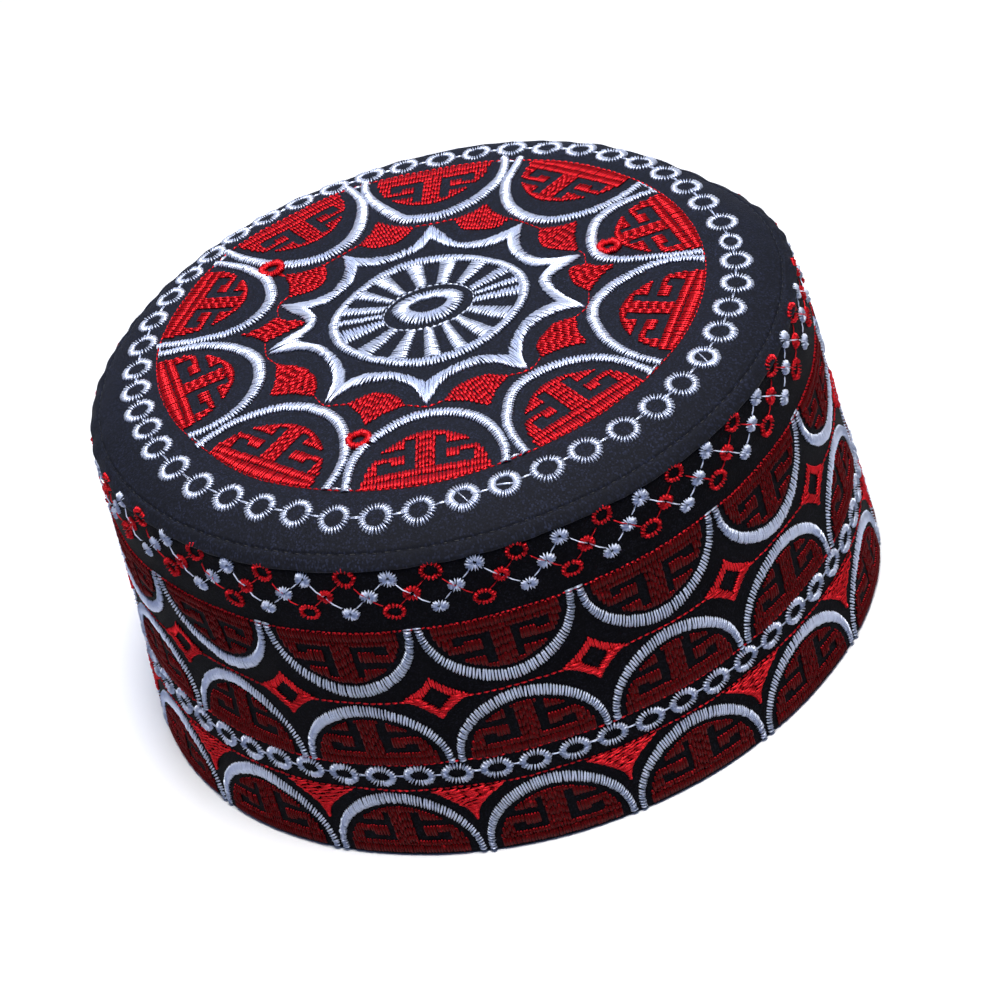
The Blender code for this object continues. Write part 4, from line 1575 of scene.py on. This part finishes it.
class KUFI_OT_wall_diamonds(Operator):
    """Red diamonds, corner fills and running lines between the arches"""

    bl_idname = "kufi.wall_diamonds"
    bl_label = "Wall diamonds and lines"

    def execute(self, context):
        use = settings(context)
        arches = context.scene.kufi_sizes.arches
        work = Threadwork(CROWDED_WALL, 131)
        step = 360.0 / arches
        for index in range(arches):
            angle = FRONT_JUNCTION + index * step
            self.diamond(work, angle, use)
            self.corner(work, angle, use)
            self.line(work, DIAMOND_LINE, angle + DIAMOND_LINE_START, angle + step - DIAMOND_LINE_START,
                      *RUNNING_STITCH)
        for height, dash, gap in ROUND_LINES:
            self.line(work, height, 0.0, 360.0, dash, gap)
        work.make("wall_diamonds_and_lines", red_rayon(context.scene.kufi_colours), "red_thread")
        return {"FINISHED"}

    @staticmethod
    def diamond(work, angle, use):
        """Upper arms of upright stitches, lower arms of level ones."""
        half, tall = DIAMOND_HALF

        def inside(u, v):
            across = np.clip(np.abs(u) / half, 0.0, 1.0) ** DIAMOND_HOLLOW
            up = np.clip(np.abs(v) / tall, 0.0, 1.0) ** DIAMOND_HOLLOW
            hole = np.abs(u) / DIAMOND_HOLE[0] + np.abs(v) / DIAMOND_HOLE[1]
            return (across + up < 1.0) & (hole > 1.0)

        upper = fill_with_columns(lambda u, v: inside(u, v) & (v > 0.0), (-half, half), (0.0, tall),
                                  *DIAMOND_UPRIGHT, work.random)
        lower = fill_with_columns(lambda v, u: inside(u, v) & (v < 0.3), (-tall, 0.3), (-half, half),
                                  *DIAMOND_LEVEL, work.random)
        level = tuple(flat[:, ::-1] for flat in lower)
        for starts, ends, height in ((*upper, use["fill"]), (*level, use["fill"] + 0.25)):
            work.sew(on_wall(starts, angle, DIAMOND_HEIGHT), on_wall(ends, angle, DIAMOND_HEIGHT),
                     0.62, height, FILL_SHAPE, 0.07, 0.22)

    @staticmethod
    def corner(work, angle, use):
        """Fill of level stitches, so the columns of the fill run sideways."""
        tall = CORNER_TOP - CORNER_POINT

        def inside(v, u):
            share = np.clip(v / tall, 0.0, 1.0)
            return np.abs(u) < CORNER_HALF_WIDTH * share ** CORNER_HOLLOW + 0.35

        starts, ends = fill_with_columns(inside, (0.0, tall), (-CORNER_HALF_WIDTH, CORNER_HALF_WIDTH),
                                         *CORNER_LEVEL, work.random)
        starts, ends = starts[:, ::-1].copy(), ends[:, ::-1].copy()
        ends[:, 1] += 0.25
        starts[:, 1] -= 0.25
        work.sew(on_wall(starts, angle, CORNER_POINT), on_wall(ends, angle, CORNER_POINT),
                 0.56, use["fill"] + 0.35, SATIN_SHAPE, 0.05, 0.18)

    @staticmethod
    def line(work, height, first, last, dash, gap):
        """A running stitch from angle to angle, which wanders a little up and down."""
        angles = np.linspace(first, last, 721)
        unit = np.array([mm_per_degree(height), 1.0])
        around = np.stack([angles, height + 0.12 * np.sin(np.radians(angles) * 23)], axis=1) * unit
        starts, ends = run_of_stitches(around, dash, gap)
        work.sew(starts / unit, ends / unit, 0.46, 0.42, LINE_SHAPE, 0.06)


class KUFI_OT_stage(Operator):
    """Pale floor, soft studio light and the camera"""

    bl_idname = "kufi.stage"
    bl_label = "Stage"

    def execute(self, context):
        context.scene.view_settings.view_transform = "Standard"
        self.floor(context)
        self.lights(context)
        self.camera(context)
        return {"FINISHED"}

    @staticmethod
    def floor(context):
        """A level square, 8 m wide."""
        corners = [(x * 4.0, y * 4.0, 0.0) for x, y in ((-1, -1), (1, -1), (1, 1), (-1, 1))]
        mesh = bpy.data.meshes.new("floor")
        mesh.from_pydata(corners, [], [(0, 1, 2, 3)])
        floor = bpy.data.objects.new("floor", mesh)
        context.scene.collection.objects.link(floor)
        mesh.materials.append(painted_board(tuple(context.scene.kufi_colours.floor)))

    @staticmethod
    def lights(context):
        """A soft key from above, a bluer panel behind, a weak fill in front and a dim sky."""
        world = bpy.data.worlds.new("studio_air")
        world.use_nodes = True
        background = world.node_tree.nodes["Background"]
        background.inputs["Color"].default_value = (0.50, 0.64, 1.0, 1.0)
        background.inputs["Strength"].default_value = 0.12
        context.scene.world = world
        for name, place_at, size, power, colour in (
                ("key_softbox", (0.08, -0.12, 1.28), 0.50, 27.0, (1.0, 0.985, 0.97)),
                ("blue_back_panel", (0.05, 1.30, 0.95), 0.8, 8.0, (0.42, 0.57, 1.0)),
                ("cool_front_fill", (-0.3, -1.25, 0.75), 0.7, 2.2, (0.26, 0.42, 1.0))):
            light = bpy.data.lights.new(name, "AREA")
            light.shape = "DISK"
            light.size = size
            light.energy = power
            light.color = colour
            lamp = bpy.data.objects.new(name, light)
            lamp.location = place_at
            aim = Vector((0.0, 0.0, 0.05)) - lamp.location
            lamp.rotation_euler = aim.to_track_quat("-Z", "Y").to_euler()
            context.scene.collection.objects.link(lamp)

    @staticmethod
    def camera(context):
        """The photograph's own view."""
        eye, right, up, back = (Vector(part) for part in camera_axes())
        data = bpy.data.cameras.new("camera")
        data.sensor_width = 36.0
        data.lens = CAMERA_LENS
        data.clip_start = 0.01
        camera = bpy.data.objects.new("camera", data)
        camera.matrix_world = Matrix.Translation(eye * MM) @ Matrix((right, up, back)).transposed().to_4x4()
        context.scene.collection.objects.link(camera)
        context.scene.camera = camera


def painted_board(colour):
    """Matt white paint on board: even and pale, with a barely visible roller texture."""
    material, tree = new_material("matt_white_painted_board")
    if tree is None:
        return material
    coordinates = add_node(tree, "ShaderNodeTexCoord")
    roller = add_node(tree, "ShaderNodeTexNoise",
                      {"Vector": coordinates.outputs["Object"], "Scale": 600.0, "Detail": 2.0})
    bump = add_node(tree, "ShaderNodeBump", {"Height": roller.outputs["Fac"], "Distance": 0.0001,
                                             "Strength": 0.15})
    shader = add_node(tree, "ShaderNodeBsdfPrincipled",
                      {"Base Color": (*colour, 1.0), "Roughness": 0.9, "IOR": 1.45,
                       "Normal": bump.outputs[0]})
    add_node(tree, "ShaderNodeOutputMaterial", {"Surface": shader.outputs[0]})
    return material


class KUFI_PT_panel(Panel):
    """Lists the cap's pieces, sizes and colours"""

    bl_idname = "KUFI_PT_panel"
    bl_label = "Embroidered kufi"
    bl_space_type = "VIEW_3D"
    bl_region_type = "UI"
    bl_category = "Kufi"

    def draw(self, context):
        scene = context.scene
        for heading, group in (("Sizes", scene.kufi_sizes), ("Colours", scene.kufi_colours)):
            box = self.layout.box()
            box.label(text=heading)
            for key in group.__annotations__:
                box.prop(group, key)
        box = self.layout.box()
        box.label(text="Pieces")
        for operator in OPERATORS:
            box.operator(operator.bl_idname)


OPERATORS = (
    KUFI_OT_crown_cloth,
    KUFI_OT_band_cloth,
    KUFI_OT_seam_stitching,
    KUFI_OT_crown_chain,
    KUFI_OT_crown_scallops,
    KUFI_OT_crown_frets,
    KUFI_OT_crown_petals,
    KUFI_OT_crown_kites,
    KUFI_OT_crown_medallion,
    KUFI_OT_crown_lines,
    KUFI_OT_zigzag,
    KUFI_OT_wall_arches,
    KUFI_OT_wall_frets,
    KUFI_OT_wall_chain,
    KUFI_OT_wall_diamonds,
    KUFI_OT_stage,
)
CLASSES = (KUFI_PG_sizes, KUFI_PG_colours, *OPERATORS, KUFI_PT_panel)


def register():
    for cls in CLASSES:
        bpy.utils.register_class(cls)
    bpy.types.Scene.kufi_sizes = PointerProperty(type=KUFI_PG_sizes)
    bpy.types.Scene.kufi_colours = PointerProperty(type=KUFI_PG_colours)


def unregister():
    del bpy.types.Scene.kufi_colours
    del bpy.types.Scene.kufi_sizes
    for cls in reversed(CLASSES):
        bpy.utils.unregister_class(cls)


def main():
    """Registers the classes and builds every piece."""
    register()
    for operator in OPERATORS:
        group, action = operator.bl_idname.split(".")
        getattr(getattr(bpy.ops, group), action)()


if __name__ == "__main__":
    main()
